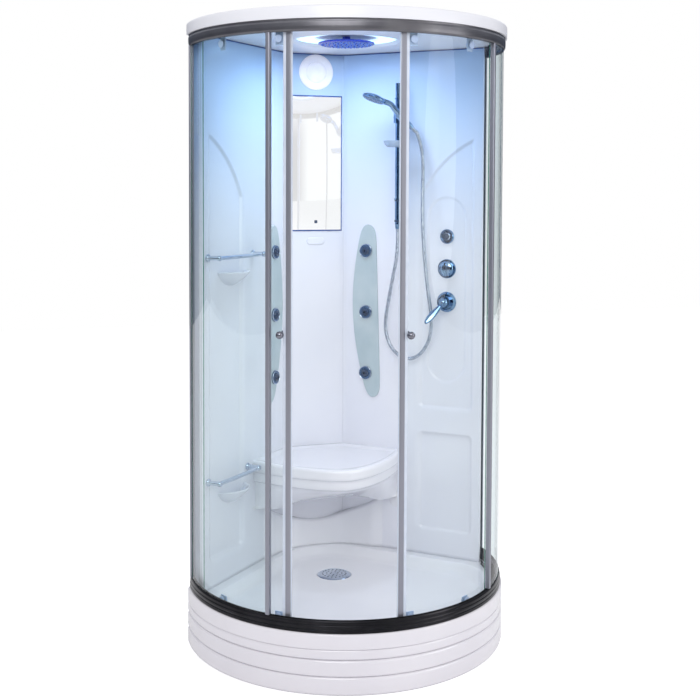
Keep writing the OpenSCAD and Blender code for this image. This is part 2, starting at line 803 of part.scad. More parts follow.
module water_pipes() {
    turn_x = (inner_d + pipe_s + pipe_turn) / sqrt(2);
    color("#d8d4c8") {
        on_left() jet_column();
        translate([0, corner_y + 44, pipe_low]) rotate([0, 90, 0]) rod(pipe_r, -turn_x, turn_x);
        on_right() {
            jet_column();
            wall_pipe([-jet_u, pipe_low], [ctrl_u, pipe_low]);
            fitting(ctrl_u, pipe_low);
            wall_pipe([ctrl_u, pipe_low], [ctrl_u, mixer_z - valve_r]);
            wall_pipe([ctrl_u, mixer_z + valve_r], [ctrl_u, feed_z - feed_r]);
            at_wall(ctrl_u, feed_z, -pipe_s) sphere(r = feed_r + 1.5);
            wall_pipe([bar_u, outlet_z], [ctrl_u, outlet_z]);
            fitting(ctrl_u, outlet_z);
            fitting(bar_u, outlet_z);
            at_wall(bar_u, outlet_z, 0) rod(pipe_r, -pipe_s, spigot_s);
            at_wall(ctrl_u, diverter_z, 0) rod(15, -pipe_s - 12, ctrl_s - tail_l);
            at_wall(ctrl_u, button_z, 0) rod(13, -pipe_s - 12, ctrl_s - tail_l);
        }
        tube_along(riser_top, riser_top * (stem_rose / norm([riser_top[0], riser_top[1], 0]))
            + [0, 0, feed_z * (1 - stem_rose / norm([riser_top[0], riser_top[1], 0]))], feed_r);
    }
}

valve_r = 30;
spigot_s = -40;                                     // where the slide bar's spigot meets the pipe
outlet_z = bar_z + 22;
inlet_r = 10.45;
inlet_gap = 75;
inlet_l = 11;                                       // length of the inlets' threads

module mixer_body() {
    color("#c9a44c") on_right() at_wall(ctrl_u, mixer_z, 0) {
        rod(cap_r - fit_c, ctrl_s - sheet_t - 1, ctrl_s);
        rod(valve_r, -wall_depth + 12, ctrl_s - sheet_t - fit_c);
        translate([-inlet_gap, 0, -pipe_s]) rotate([0, 90, 0]) rod(14, 0, 2 * inlet_gap);
        for (s = [-1, 1]) translate([s * inlet_gap, 0, 0]) {
            rod(inlet_r, -wall_depth, inlet_l - wall_depth);
            rod(inlet_r - 1, inlet_l - wall_depth - 1, -pipe_s);
            translate([0, 0, -pipe_s]) sphere(r = 16);
        }
    }
}

// Shelf rails

guard_up = 55;
guard_foot_r = 13;

module guard_rail(u0, z) {
    color("#b8c6d2") on_left() {
        translate([u0, z, guard_s]) rotate([0, 90, 0]) rod(guard_r, -guard_r, guard_out - u0 + guard_r);
        for (u = [u0, guard_out]) at_wall(u, z, 0) {
            rod(guard_foot_r, 0, 7);
            rod(guard_r - 1, 6, guard_s);
        }
    }
}

module upper_guard_rail() guard_rail(guard_in, shelf_top + guard_up);
module lower_guard_rail() guard_rail(guard_low_in, shelf_low + guard_up);

// Slide bar and hand shower

module bar_foot(z) at_wall(bar_u, z, 0) {
    rod(foot_r, 0, foot_t);
    rod(arm_r, foot_t - 1, bar_s);
    translate([0, 0, foot_t]) cylinder(r1 = foot_r - 4, r2 = arm_r, h = 12);
}

module slide_bar() {
    color("#a9bdd6") on_right() {
        at_wall(bar_u, 0, bar_s) upright() {
            rod(bar_r, bar_z, bar_top);
            rod(collar_r, bar_z + 92, bar_z + 92 + collar_h);
            rod(collar_r, collar_z, collar_z + collar_h);
        }
        bar_foot(outlet_z);
        bar_foot(bar_top - 25);
        at_wall(bar_u, outlet_z, 0) rod(arm_r - 1, spigot_s, 1);
    }
}

collar_z = slider_z + clamp_h / 2 + 43;

// Slider frame: y points from the bar to the hand shower's handle, x is the way the handle leans
module at_slider() on_right() at_wall(bar_u, slider_z, bar_s) upright() rotate([0, 0, aim]) children();
// Handle frame: local z runs up the handle
module at_handle() at_slider() translate([0, side_l, 0]) rotate([0, 90 - handle_rise, 0]) children();

pin_r = 5;
pin_end = side_l - grip_r - 1;

module bar_slider() {
    color("#8799b5") at_slider() difference() {
        union() {
            rod(clamp_r, -clamp_h / 2, clamp_h / 2);
            rotate([-90, 0, 0]) rod(pin_r + 5, 0, side_l - holder_r - fit_c);
            rotate([-90, 0, 0]) rod(pin_r, 0, pin_end);
            rotate([90, 0, 0]) rod(pin_r + 6, 0, clamp_r + 12);
        }
        rod(bar_r + run_c, -clamp_h, clamp_h);
    }
}

module handset_holder() {
    color("#6f83a3") difference() {
        at_handle() difference() {
            rod(holder_r, -holder_l / 2, holder_l / 2);
            rod(grip_r + run_c, -holder_l, holder_l);
        }
        at_slider() rotate([-90, 0, 0]) rod(pin_r + run_c, 0, pin_end + 1);
    }
}

neck_at = handle_above * [cos(handle_rise), 0, sin(handle_rise)];
head_at = neck_at + neck_l * [cos(head_rise), 0, sin(head_rise)];

module hand_shower() {
    color("#7fa3c8") {
        at_handle() rod(grip_r, -handle_below, handle_above);
        at_slider() translate([0, side_l, 0]) {
            translate(neck_at) sphere(r = grip_r + 1);
            tube_along(neck_at, head_at, grip_r - 1);
            translate(head_at) rotate([0, -head_rise, 0]) rotate_extrude()
                polygon([[0, -12], [head_r - 8, -12], [head_r, -8], [head_r, -2], [head_r - 12, 8], [0, 13]]);
        }
    }
}

module upper_hose_nut() {
    color("#93a7bd") at_handle() difference() {
        translate([0, 0, -handle_below - nut_l]) cylinder(r1 = nut_r - 1, r2 = nut_r + 1, h = nut_l);
        rod(hose_r - 3, -handle_below - nut_l - 1, -handle_below - 4);
    }
}

module lower_hose_nut() {
    color("#93a7bd") on_right() at_wall(bar_u, 0, bar_s) upright() difference() {
        translate([0, 0, bar_z - nut_l]) cylinder(r1 = nut_r - 1, r2 = nut_r + 1, h = nut_l);
        rod(hose_r - 3, bar_z - nut_l - 1, bar_z - 4);
    }
}

// The hose follows a smooth curve through its points, and each ring stands square to the curve
function curve_at(p, i, t) = let (
    a = p[max(i - 1, 0)], b = p[i], c = p[i + 1], d = p[min(i + 2, len(p) - 1)])
    0.5 * (2 * b + (c - a) * t + (2 * a - 5 * b + 4 * c - d) * t * t + (3 * b - a - 3 * c + d) * t * t * t);

// Where the nuts end: under the bar, and behind the handle of the hand shower
lean_v = [cos(aim) * cos(handle_rise), -sin(aim) * cos(handle_rise), sin(handle_rise)];
side_v = [-sin(aim), -cos(aim), 0];
hose_start = [bar_u, bar_s, bar_z - nut_l - hose_c];
hose_tip = [bar_u, bar_s, slider_z] + side_l * side_v - (handle_below + nut_l + hose_c) * lean_v;
route = concat([for (k = [0 : 2]) hose_start - [0, 0, 2 * k * hose_r]], hose_pts,
    [for (k = [2 : -1 : 0]) hose_tip - 2 * k * hose_r * lean_v]);
hose_line = concat([for (i = [0 : len(route) - 2], t = [0, 0.5]) curve_at(route, i, t)],
    [route[len(route) - 1]]);

hose_sides = 10;

function unit(v) = v / norm(v);
function tangent(i) = unit(hose_line[min(i + 1, len(hose_line) - 1)] - hose_line[max(i - 1, 0)]);

module shower_hose() {
    n = len(hose_line);
    rings = [for (i = [0 : n - 1]) let (t = tangent(i), a = unit(cross([0.2, 1, 0.1], t)), b = cross(t, a))
        for (k = [0 : hose_sides - 1]) let (w = 360 * k / hose_sides)
            hose_line[i] + hose_r * (cos(w) * a + sin(w) * b)];
    color("#b4c6d8") on_right() rotate([-90, 0, 0]) mirror([0, 1, 0]) polyhedron(
        points = rings,
        faces = concat([[for (k = [0 : hose_sides - 1]) k]],
            [for (i = [0 : n - 2], k = [0 : hose_sides - 1]) let (m = (k + 1) % hose_sides, o = i * hose_sides)
                each [[o + k, o + hose_sides + k, o + m], [o + m, o + hose_sides + k, o + hose_sides + m]]],
            [[for (k = [hose_sides - 1 : -1 : 0]) (n - 1) * hose_sides + k]]));
}

module soap_dish() {
    color("#b9cbe4") on_right() difference() {
        union() {
            at_wall(dish_u, dish_z, dish_s) upright() rotate_extrude() polygon([[0, -dish_h],
                [dish_r - 16, -dish_h], [dish_r - 5, -dish_h * 0.6], [dish_r, 0], [dish_r - dish_t, 0],
                [dish_r - dish_t - 5, -dish_h * 0.55], [dish_r - 18, dish_t - dish_h], [0, dish_t - dish_h]]);
            at_wall(bar_u, dish_z, bar_s) upright() rod(bar_r + 4, -dish_h, 2);
        }
        at_wall(bar_u, dish_z, bar_s) upright() rod(bar_r + run_c / 2, -2 * dish_h, dish_h);
    }
}

// Controls

module at_control(z) on_right() at_wall(ctrl_u, z, ctrl_s) children();

module control_plates() {
    color("#a7b7cf") {
        at_control(mixer_z) difference() {
            rotate_extrude() polygon([[0, 0], [plate_r, 0], [plate_r, 3], [plate_r - 8, plate_h], [0, plate_h]]);
            rod(cap_r / 2 + run_c, -1, plate_h + 1);
        }
        at_control(diverter_z) difference() {
            rotate_extrude() polygon([[0, 0], [plate_r - 2, 0], [plate_r - 2, 3], [plate_r - 4, 6], [0, 6]]);
            rod(stem_r + run_c, -1, 7);
        }
        at_control(button_z) difference() {
            rotate_extrude() polygon([[0, 0], [bezel_r, 0], [bezel_r, 4], [bezel_r - 3, 8], [bezel_r - 6, 8],
                [bezel_r - 8, 6], [0, 6]]);
            rod(button_r + run_c, -1, 9);
        }
    }
}

module mixer_cap() {
    color("#9fb1cc") at_control(mixer_z) difference() {
        union() {
            rod(cap_r, plate_h + fit_c, plate_h + cap_h);
            rod(cap_r / 2, fit_c, plate_h + 1);
        }
        translate([0, 0, hub_s - ctrl_s]) sphere(r = hub_r + run_c);
    }
}

// The lever's ball hub sits in the cap, and the arm rises from it
module mixer_lever() {
    color("#b9c9de") on_right() at_wall(ctrl_u, mixer_z, hub_s) rotate([0, 0, -lever_a]) {
        sphere(r = hub_r);
        rotate([90 - lever_rise, 0, 0]) cylinder(r1 = 5.5, r2 = 7.5, h = lever_l);
        rotate([90 - lever_rise, 0, 0]) translate([0, 0, lever_l]) sphere(r = 7.5);
    }
}

module diverter_knob() {
    color("#49658f") at_control(diverter_z) {
        rod(stem_r, fit_c - tail_l, 7);
        rotate_extrude() polygon(concat([[0, 6 + fit_c], [dial_r, 6 + fit_c]],
            [for (a = [0 : 10 : 90]) [dial_r * cos(a), 6 + dial_h * 0.4 + dial_h * 0.6 * sin(a)]]));
        translate([-3, 2, dial_h]) cube([6, dial_r - 8, 7]);
    }
}

module push_button() {
    color("#a3b4d2") at_control(button_z) {
        rotate_extrude() polygon([[0, button_travel + 1], [button_r, button_travel + 1], [button_r, 9],
            [button_r - 2, 11], [5, 11], [4, 9.5], [0, 9.5]]);
        rod(4, button_travel + fit_c - tail_l, button_travel + 2);
    }
}

// Enclosure

module frame_ring(z0, z1) arc(block_in, rail_r, -flange_a, flange_a, z0, z1);
module glass_groove(z0, z1) arc(fixed_in - 0.5, fixed_out + 0.5, -flange_a - 1, flange_a + 1, z0, z1);

module top_rail() {
    color("#8e8e93") difference() {
        union() {
            frame_ring(rail_top, rail_head);
            arc(rail_in, block_in + 1, -track_a, track_a, roof_z - web_t, rail_head);
            arc(door_in + 0.5, block_in + 1, -track_a, track_a, tread_z - web_t, tread_z);
        }
        glass_groove(rail_top - 1, rail_top + groove_d);
    }
}

module bottom_rail() {
    color("#3c3c40") difference() {
        union() {
            frame_ring(tray_h, rail_low);
            arc(rail_in, block_in + 1, -track_a, track_a, tray_h, tray_h + web_t);
            arc(rail_in + 3, rail_in + 5, -track_a, track_a, tray_h + 1, tray_h + 15);
        }
        glass_groove(rail_low - groove_d, rail_low + 1);
    }
}

post_half = 0.75;
pane_z0 = rail_low - groove_d + fit_c;
pane_z1 = rail_top + groove_d - fit_c;

// An upright channel that holds one edge of a fixed pane
module channel(a0, a1, slot0, slot1) {
    difference() {
        arc(fixed_in - 5.5, fixed_out + 5.5, a0, a1, rail_low, rail_top);
        arc(fixed_in - 0.4, fixed_out + 0.4, slot0, slot1, rail_low - 1, rail_top + 1);
    }
}

module fixed_posts() {
    color("#8c9096") for (s = [0, 1]) mirror([s, 0, 0])
        channel(post_a - post_half, post_a + post_half, post_a - 0.2, post_a + 2);
}

module wall_profiles() {
    color("#9b9da3") for (s = [0, 1]) mirror([s, 0, 0])
        channel(flange_a - 1.6, flange_a, flange_a - 3, flange_a - 0.5);
}

module fixed_pane() arc(fixed_in, fixed_out, post_a - 0.15, flange_a - 0.55, pane_z0, pane_z1);
module right_fixed_glass() color("#c8e6e0", 0.35) fixed_pane();
module left_fixed_glass() color("#c8e6e0", 0.35) mirror([1, 0, 0]) fixed_pane();

// Doors are drawn closed on the right, and the left door is turned open
module left_door() rotate([0, 0, -left_open]) mirror([1, 0, 0]) children();

module door_glass() {
    difference() {
        arc(door_in, door_out, glass_a, tail_a, door_low, door_top);
        for (a = hang_a, z = [shoe_z, door_top - 22]) on_ray(a, door_in - 5, z) rod(hole_r, 0, 15);
        on_ray(knob_a, door_in - 5, knob_z) rod(hole_r, 0, 15);
    }
}

module right_door_glass() color("#c8e6e0", 0.35) door_glass();
module left_door_glass() color("#c8e6e0", 0.35) left_door() door_glass();

module door_profile() {
    difference() {
        arc(door_in - 3, door_out + 3, lead_a, lead_a + edge_a, door_low, door_top);
        arc(door_in - 0.3, door_out + 0.3, glass_a - 0.03, lead_a + edge_a + 1, door_low - 1, door_top + 1);
    }
}

module right_door_profile() color("#b4b4ba") door_profile();
module left_door_profile() color("#b4b4ba") left_door() door_profile();

// A ball on each side of the glass, on one spindle
module knob() {
    on_ray(knob_a, 0, knob_z) {
        rod(hole_r - 1, door_in - 4, door_out + 4);
        rod(neck_r + 2, door_in - 4, door_in - fit_c);
        rod(neck_r + 2, door_out + fit_c, door_out + 4);
        translate([0, 0, door_out + 3 + knob_r - 1]) sphere(r = knob_r - 0.5);
        translate([0, 0, door_in - 3 - knob_r + 1]) sphere(r = knob_r - 0.5);
    }
}

module right_knob() color("#5f6f7e") knob();
module left_knob() color("#5f6f7e") left_door() knob();

plate_out = door_in - 0.5;

module hangers() {
    for (a = hang_a) on_ray(a, 0, 0) {
        translate([-grip_w / 2, door_top - 42, plate_out - plate_t])
            cube([grip_w, axle_z + 9 - door_top + 42, plate_t]);
        translate([0, axle_z, 0]) {
            rod(axle_r, plate_out - 1, plate_out + 10);
            rod(axle_r + 2, plate_out + 9.2, plate_out + 10.8);
        }
        translate([0, door_top - 22, 0]) bolt();
        translate([-grip_w / 2, door_low - 5, plate_out - plate_t])
            cube([grip_w, shoe_z + 14 - door_low + 5, plate_t]);
        translate([0, shoe_z, 0]) bolt();
    }
}

// A bolt through the glass, with a round cap on each side
module bolt() {
    rod(hole_r - 0.4, plate_out - 1, door_out + 1);
    rod(12, door_out + fit_c, door_out + 4);
    rod(11, plate_out - plate_t - 4, plate_out - plate_t + 1);
}

module right_hangers() color("#7f8790") hangers();
module left_hangers() color("#7f8790") left_door() hangers();

// A grooveless nylon wheel that rolls on the rib of the top rail
module wheel(a) {
    color("#e4e2da") on_ray(a, plate_out + 1.2, axle_z) difference() {
        rod(wheel_r, 0, wheel_w);
        rod(axle_r + run_c, -1, wheel_w + 1);
    }
}

tray();
apron();
tray_frame();
levelling_feet();
waste_trap();
drain_flange();
drain_cover();
left_wall();
right_wall();
corner_panel();
seat();
roof();
overhead_shower();
roof_lamp();
corner_lamp();
wall_mirror();
left_jet_panel();
right_jet_panel();
jet_bezels();
on_left() jet_nozzle(0);  // jet_nozzle_1
on_left() jet_nozzle(1);  // jet_nozzle_2
on_left() jet_nozzle(2);  // jet_nozzle_3
on_right() jet_nozzle(0);  // jet_nozzle_4
on_right() jet_nozzle(1);  // jet_nozzle_5
on_right() jet_nozzle(2);  // jet_nozzle_6
water_pipes();
mixer_body();
upper_guard_rail();
lower_guard_rail();
slide_bar();
bar_slider();
handset_holder();
hand_shower();
shower_hose();
lower_hose_nut();
upper_hose_nut();
soap_dish();
control_plates();
mixer_cap();
mixer_lever();
diverter_knob();
push_button();
top_rail();
bottom_rail();
wall_profiles();
left_fixed_glass();
right_fixed_glass();
fixed_posts();
left_door_glass();
right_door_glass();
left_door_profile();
right_door_profile();
left_knob();
right_knob();
left_hangers();
right_hangers();
left_door() wheel(hang_a[0]);  // left_wheel_1
left_door() wheel(hang_a[1]);  // left_wheel_2
wheel(hang_a[0]);  // right_wheel_1
wheel(hang_a[1]);  // right_wheel_2
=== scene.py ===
# %% [markdown]
# # A corner shower cabin with jets, a seat and a lit roof
# The cabin is a quarter-round tray with a ribbed skirt, two moulded back walls, a corner column with
# a mirror and a seat, a white roof, and a curved glass front with two sliding doors. The CAD model is
# the frame: every piece here sits where the CAD says, in metres, with Z up and the door axis at the
# origin. The mouldings, the rails and the larger fittings are worked out with numpy. The panes and the
# small fittings keep their CAD shapes and get detailed finishes.

# %% Load the frame
import math
import bpy
import bmesh
import numpy as np
from mathutils import Matrix


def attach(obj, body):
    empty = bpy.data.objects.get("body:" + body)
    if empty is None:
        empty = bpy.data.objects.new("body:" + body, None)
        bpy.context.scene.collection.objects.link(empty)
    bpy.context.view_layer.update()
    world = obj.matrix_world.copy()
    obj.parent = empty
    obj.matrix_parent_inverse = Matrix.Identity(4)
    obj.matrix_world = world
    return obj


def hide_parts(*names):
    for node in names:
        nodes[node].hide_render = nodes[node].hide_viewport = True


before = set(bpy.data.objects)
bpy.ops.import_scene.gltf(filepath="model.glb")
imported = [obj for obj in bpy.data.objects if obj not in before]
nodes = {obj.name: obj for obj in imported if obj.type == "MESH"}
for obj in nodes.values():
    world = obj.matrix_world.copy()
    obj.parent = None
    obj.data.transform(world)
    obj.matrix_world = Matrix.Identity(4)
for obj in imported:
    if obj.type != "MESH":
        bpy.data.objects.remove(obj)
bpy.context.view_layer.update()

# %% [markdown]
# The main measures repeat those of the CAD source, in metres. A place on a wall is given as u along
# the wall towards the doors, s out of its face and z up, as on the bench where the wall lies flat.

# %% Measures
TRAY_H, CEIL_Z, ROOF_Z = 0.196, 2.105, 2.110
RIM_R, WALL_OUT, BACK_Y = 0.563, 0.428, 0.563
INNER_D, CORNER_Y = 0.343, 0.372
JOINT_X = INNER_D * math.sqrt(2) - CORNER_Y
END_A = 135 - math.degrees(math.acos(WALL_OUT / RIM_R))
FLANGE_A = END_A - 1.2
WALL_EDGE, RAIL_R = 0.5255, 0.558
BAR_U, BAR_S, HOLDER_Z = 0.074, 0.055, 1.856
QUARTER = math.pi / 2


def wall_point(u, s, z, side=1.0):
    """A point of a back wall: X = (D - s + u) / root 2, Y = (D - s - u) / root 2, mirrored for side -1."""
    u, s, z = np.broadcast_arrays(*(np.asarray(v, float) for v in (u, s, z)))
    return np.stack([side * (INNER_D - s + u) / math.sqrt(2), (INNER_D - s - u) / math.sqrt(2), z], axis=-1)


def wall_way(u, s, z, side=1.0):
    """A direction given along the wall, out of the wall and up."""
    return wall_point(u, s, z, side) - wall_point(0, 0, 0, side)


def mm(*points):
    """Points given in millimetres, in metres."""
    return np.array(points) / 1000


def unit(v):
    """Each vector divided by its length."""
    return v / np.maximum(np.linalg.norm(v, axis=-1, keepdims=True), 1e-12)


print("walls meet the corner column at x =", round(JOINT_X, 4))

# %% [markdown]
# The camera stands a little left of the middle and about 1.6 m up, as in the photograph. The photograph's
# middle lies below its line of sight. A lens shift gives that, and the upright edges stay upright.

# %% Camera
CAM_AZ, CAM_D, CAM_H = math.radians(18.3), 4.056, 1.596
YAW, PITCH, ROLL = math.radians(0.22), math.radians(2.79), math.radians(0.23)
F_PX, CY_PX, SIZE_PX, SENSOR = 1139.0, 241.9, 700.0, 36.0


def camera_axes():
    """Right, up and forward: forward turned by yaw and pitched down, then right and up turned by roll."""
    f = np.array([math.sin(YAW) * math.cos(PITCH), math.cos(YAW) * math.cos(PITCH), -math.sin(PITCH)])
    r = np.array([math.cos(YAW), -math.sin(YAW), 0.0])
    u = np.cross(r, f)
    r2 = math.cos(ROLL) * r + math.sin(ROLL) * u
    u2 = -math.sin(ROLL) * r + math.cos(ROLL) * u
    c, s = math.cos(CAM_AZ), math.sin(CAM_AZ)
    turn = np.array([[c, s, 0], [-s, c, 0], [0, 0, 1]])
    return turn @ r2, turn @ u2, turn @ f


def stand(obj, x, y, z, at):
    """Puts an object into the scene with its own axes along x, y and z and its origin at a point."""
    bpy.context.scene.collection.objects.link(obj)
    obj.matrix_world = Matrix([[x[i], y[i], z[i], at[i]] for i in range(3)] + [[0, 0, 0, 1]])
    return obj


cam_data = bpy.data.cameras.new("camera")
cam_data.sensor_width = SENSOR
cam_data.lens = F_PX / SIZE_PX * SENSOR
cam_data.shift_y = (CY_PX - SIZE_PX / 2) / SIZE_PX
right, up, forward = camera_axes()
cam = stand(bpy.data.objects.new("camera", cam_data), right, up, -forward,
            (-CAM_D * math.sin(CAM_AZ), -CAM_D * math.cos(CAM_AZ), CAM_H))
bpy.context.scene.camera = cam
print("camera lens", round(cam_data.lens, 2), "shift", round(cam_data.shift_y, 4))

# %% [markdown]
# Each surface is an array of points. These helpers turn such arrays into meshes: a skin over a grid of
# points, a moulded sheet, a turned piece, and a tube carried along a line.

# %% Mesh helpers
MERGE, SHEET = 1e-6, 0.004


def wear(obj, *mats):
    """Gives a piece or CAD node its finishes. The first one is on every face unless a face says otherwise."""
    if isinstance(obj, str):
        obj = nodes[obj]
    obj.data.materials.clear()
    for m in mats:
        obj.data.materials.append(m)
    return obj


def add_mesh(name, points, faces, body="cabin", replaces=(), smooth=40.0, towards=None):
    """Points (n, 3) and faces as lists of indices become one object, with close points merged.

    A closed skin is turned so that its volume is positive, and an open one so that it faces towards."""
    mesh = bpy.data.meshes.new(name)
    mesh.from_pydata(np.asarray(points, float).reshape(-1, 3).tolist(), [], faces)
    bm = bmesh.new()
    bm.from_mesh(mesh)
    bmesh.ops.remove_doubles(bm, verts=bm.verts, dist=MERGE)
    bmesh.ops.dissolve_degenerate(bm, edges=bm.edges, dist=MERGE)
    bm.normal_update()
    if towards is None:
        wrong = bm.calc_volume(signed=True) < 0
    else:
        wrong = sum(f.normal.dot(towards) * f.calc_area() for f in bm.faces) < 0
    if wrong:
        bmesh.ops.reverse_faces(bm, faces=bm.faces)
    open_edges = sum(1 for e in bm.edges if len(e.link_faces) != 2)
    bm.to_mesh(mesh)
    bm.free()
    mesh.shade_smooth()
    mesh.set_sharp_from_angle(angle=math.radians(smooth))
    obj = bpy.data.objects.new(name, mesh)
    bpy.context.scene.collection.objects.link(obj)
    if replaces:
        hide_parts(*replaces)
    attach(obj, body)
    print(name, "points", len(mesh.vertices), "faces", len(mesh.polygons), "open edges", open_edges)
    return obj


def skin(name, grid, *mats, ends="caps", around=True, **kw):
    """A skin over a grid (rows, columns, 3), closed around its columns unless around is false.

    Its first and last row get caps, join in a loop, or are free: then they end on an axis or stay open."""
    rows, cols = grid.shape[:2]
    ii, jj = np.meshgrid(np.arange(rows if ends == "loop" else rows - 1),
                         np.arange(cols if around else cols - 1), indexing="ij")
    i2, j2 = (ii + 1) % rows, (jj + 1) % cols
    quads = np.stack([ii * cols + jj, ii * cols + j2, i2 * cols + j2, i2 * cols + jj], axis=-1)
    faces = quads.reshape(-1, 4).tolist()
    if ends == "caps":
        faces += [list(range(cols - 1, -1, -1)), list(range((rows - 1) * cols, rows * cols))]
    return wear(add_mesh(name, grid, faces, **kw), *mats)


def sheet(name, grid, mat, towards, thickness=SHEET, **kw):
    """An open grid as a moulded sheet, thickened behind the face that looks towards."""
    obj = skin(name, grid, mat, ends="free", around=False, towards=towards, **kw)
    thick = obj.modifiers.new("sheet", "SOLIDIFY")
    thick.thickness = thickness
    thick.offset = -1
    return obj


def profile_grid(x, rows):
    """Rows of (y, z), each one number or one for every x, as a grid."""
    y, z = (np.stack([np.broadcast_to(row[i], x.shape) for row in rows]) for i in (0, 1))
    return np.stack([np.broadcast_to(x, y.shape), y, z], axis=-1)


def circle(steps):
    """Equal steps of angle once round, from zero on."""
    return np.linspace(0, 2 * math.pi, steps, endpoint=False)


def turned(profile, centre=(0, 0, 0), axis=(0, 0, 1), steps=64):
    """Each (r, h) of the profile is carried round the axis: centre + h axis + r (cos a, sin a)."""
    profile = np.asarray(profile, float)
    axis = unit(np.asarray(axis, float))
    across = unit(np.cross(axis, [0.31, 0.27, 0.91] if abs(axis[2]) < 0.9 else [1.0, 0.2, 0.0]))
    a = circle(steps)[:, None]
    ring = np.cos(a) * across + np.sin(a) * np.cross(axis, across)
    return np.asarray(centre) + profile[:, None, 1:2] * axis + profile[:, None, 0:1] * ring[None]


def tube(path, radius, steps=16, upright=(0.0, 0.0, 1.0)):
    """A ring of the given radius stands square to the path at each of its points."""
    path = np.asarray(path, float)
    t = unit(np.gradient(path, axis=0))
    across = unit(np.cross(t, np.asarray(upright, float)))
    a = circle(steps)[None, :, None]
    ring = np.cos(a) * across[:, None] + np.sin(a) * np.cross(across, t)[:, None]
    return path[:, None] + np.broadcast_to(np.asarray(radius, float), (len(path),))[:, None, None] * ring


def spline(points, count):
    """A Catmull-Rom curve through the points: 0.5 (2b + (c-a) t + (2a-5b+4c-d) t^2 + (3b-a-3c+d) t^3)."""
    p = np.asarray(points, float)
    w = np.linspace(0, len(p) - 1, count)
    i = np.minimum(w.astype(int), len(p) - 2)
    t = (w - i)[:, None]
    a, b, c, d = p[np.maximum(i - 1, 0)], p[i], p[i + 1], p[np.minimum(i + 2, len(p) - 1)]
    square, cube = 2 * a - 5 * b + 4 * c - d, 3 * b - a - 3 * c + d
    return 0.5 * (2 * b + (c - a) * t + square * t ** 2 + cube * t ** 3)


def smooth_step(x):
    """Zero below 0, one above 1 and 3x^2 - 2x^3 between."""
    x = np.clip(x, 0, 1)
    return x * x * (3 - 2 * x)


print("helpers: skin, sheet, turned, tube and spline")

# %% [markdown]
# Finishes first: colour with a slow cloudy variation, roughness that changes a little over the surface,
# and a fine bump. All patterns read object coordinates, so they stay on the piece when a door moves.

# %% Finish helper
def srgb(*c):
    """A colour as seen on screen, 0 to 255, turned into the linear light that shaders work in."""
    v = np.asarray(c, float) / 255
    return tuple(np.where(v <= 0.04045, v / 12.92, ((v + 0.055) / 1.055) ** 2.4)) + (1.0,)


def plug(tree, target, values):
    """Each input of a shader node gets its number, or a link from the output given for it."""
    for key, value in values.items():
        if isinstance(value, bpy.types.NodeSocket):
            tree.links.new(value, target.inputs[key])
        else:
            target.inputs[key].default_value = value
    return target


def node(tree, kind, values=None, **settings):
    """A new shader node with its settings and its inputs filled in."""
    made = tree.nodes.new("ShaderNode" + kind)
    for key, value in settings.items():
        setattr(made, key, value)
    return plug(tree, made, values or {})


def new_tree(name):
    """A new material and its node tree."""
    mat = bpy.data.materials.new(name)
    mat.use_nodes = True
    return mat, mat.node_tree


def finish(name, light, dark, rough=(0.2, 0.3), metal=0.0, coat=0.0, cloud=6.0, grain=300.0, bump=0.02,
           stretch=(1, 1, 1), glow=None, glow_power=0.0, painted_lamp_tint=None):
    """Principled finish: noise mixes two colours, a second noise sets roughness and the bump.

    A height tint (z0, z1, colour) as the last argument lets the colour pass into another one between two
    heights: painted light, a lamp's tint."""
    mat, tree = new_tree(name)
    coord = node(tree, "TexCoord").outputs["Object"]
    place = node(tree, "Mapping", {"Vector": coord, "Scale": stretch}).outputs["Vector"]
    clouds = node(tree, "TexNoise", {"Vector": place, "Scale": cloud, "Detail": 3.0})
    ramp = node(tree, "ValToRGB", {"Fac": clouds.outputs["Fac"]})
    for stop, at, colour in zip(ramp.color_ramp.elements, (0.3, 0.7), (dark, light)):
        stop.position, stop.color = at, srgb(*colour)
    base = ramp.outputs["Color"]
    if painted_lamp_tint:
        # The colour turns towards the tint with height: painted light.
        height = node(tree, "SeparateXYZ", {"Vector": coord}).outputs["Z"]
        rise = node(tree, "MapRange", {"Value": height, "From Min": painted_lamp_tint[0], "From Max": painted_lamp_tint[1]},
                    interpolation_type="SMOOTHSTEP")
        mixed = node(tree, "Mix", {0: rise.outputs["Result"], 6: base, 7: srgb(*painted_lamp_tint[2])}, data_type="RGBA")
        base = mixed.outputs[2]
    speck = node(tree, "TexNoise", {"Vector": place, "Scale": grain, "Detail": 2.0}).outputs["Fac"]
    spread = node(tree, "MapRange", {"Value": speck, "To Min": rough[0], "To Max": rough[1]})
    lumps = node(tree, "Bump", {"Height": speck, "Strength": bump, "Distance": 0.001})
    shader = plug(tree, tree.nodes["Principled BSDF"], {
        "Base Color": base, "Roughness": spread.outputs["Result"], "Normal": lumps.outputs["Normal"],
        "Metallic": metal, "Coat Weight": coat, "Coat Roughness": 0.05})
    if glow:
        plug(tree, shader, {"Emission Color": glow, "Emission Strength": glow_power})
    return mat


print("finish helper ready")
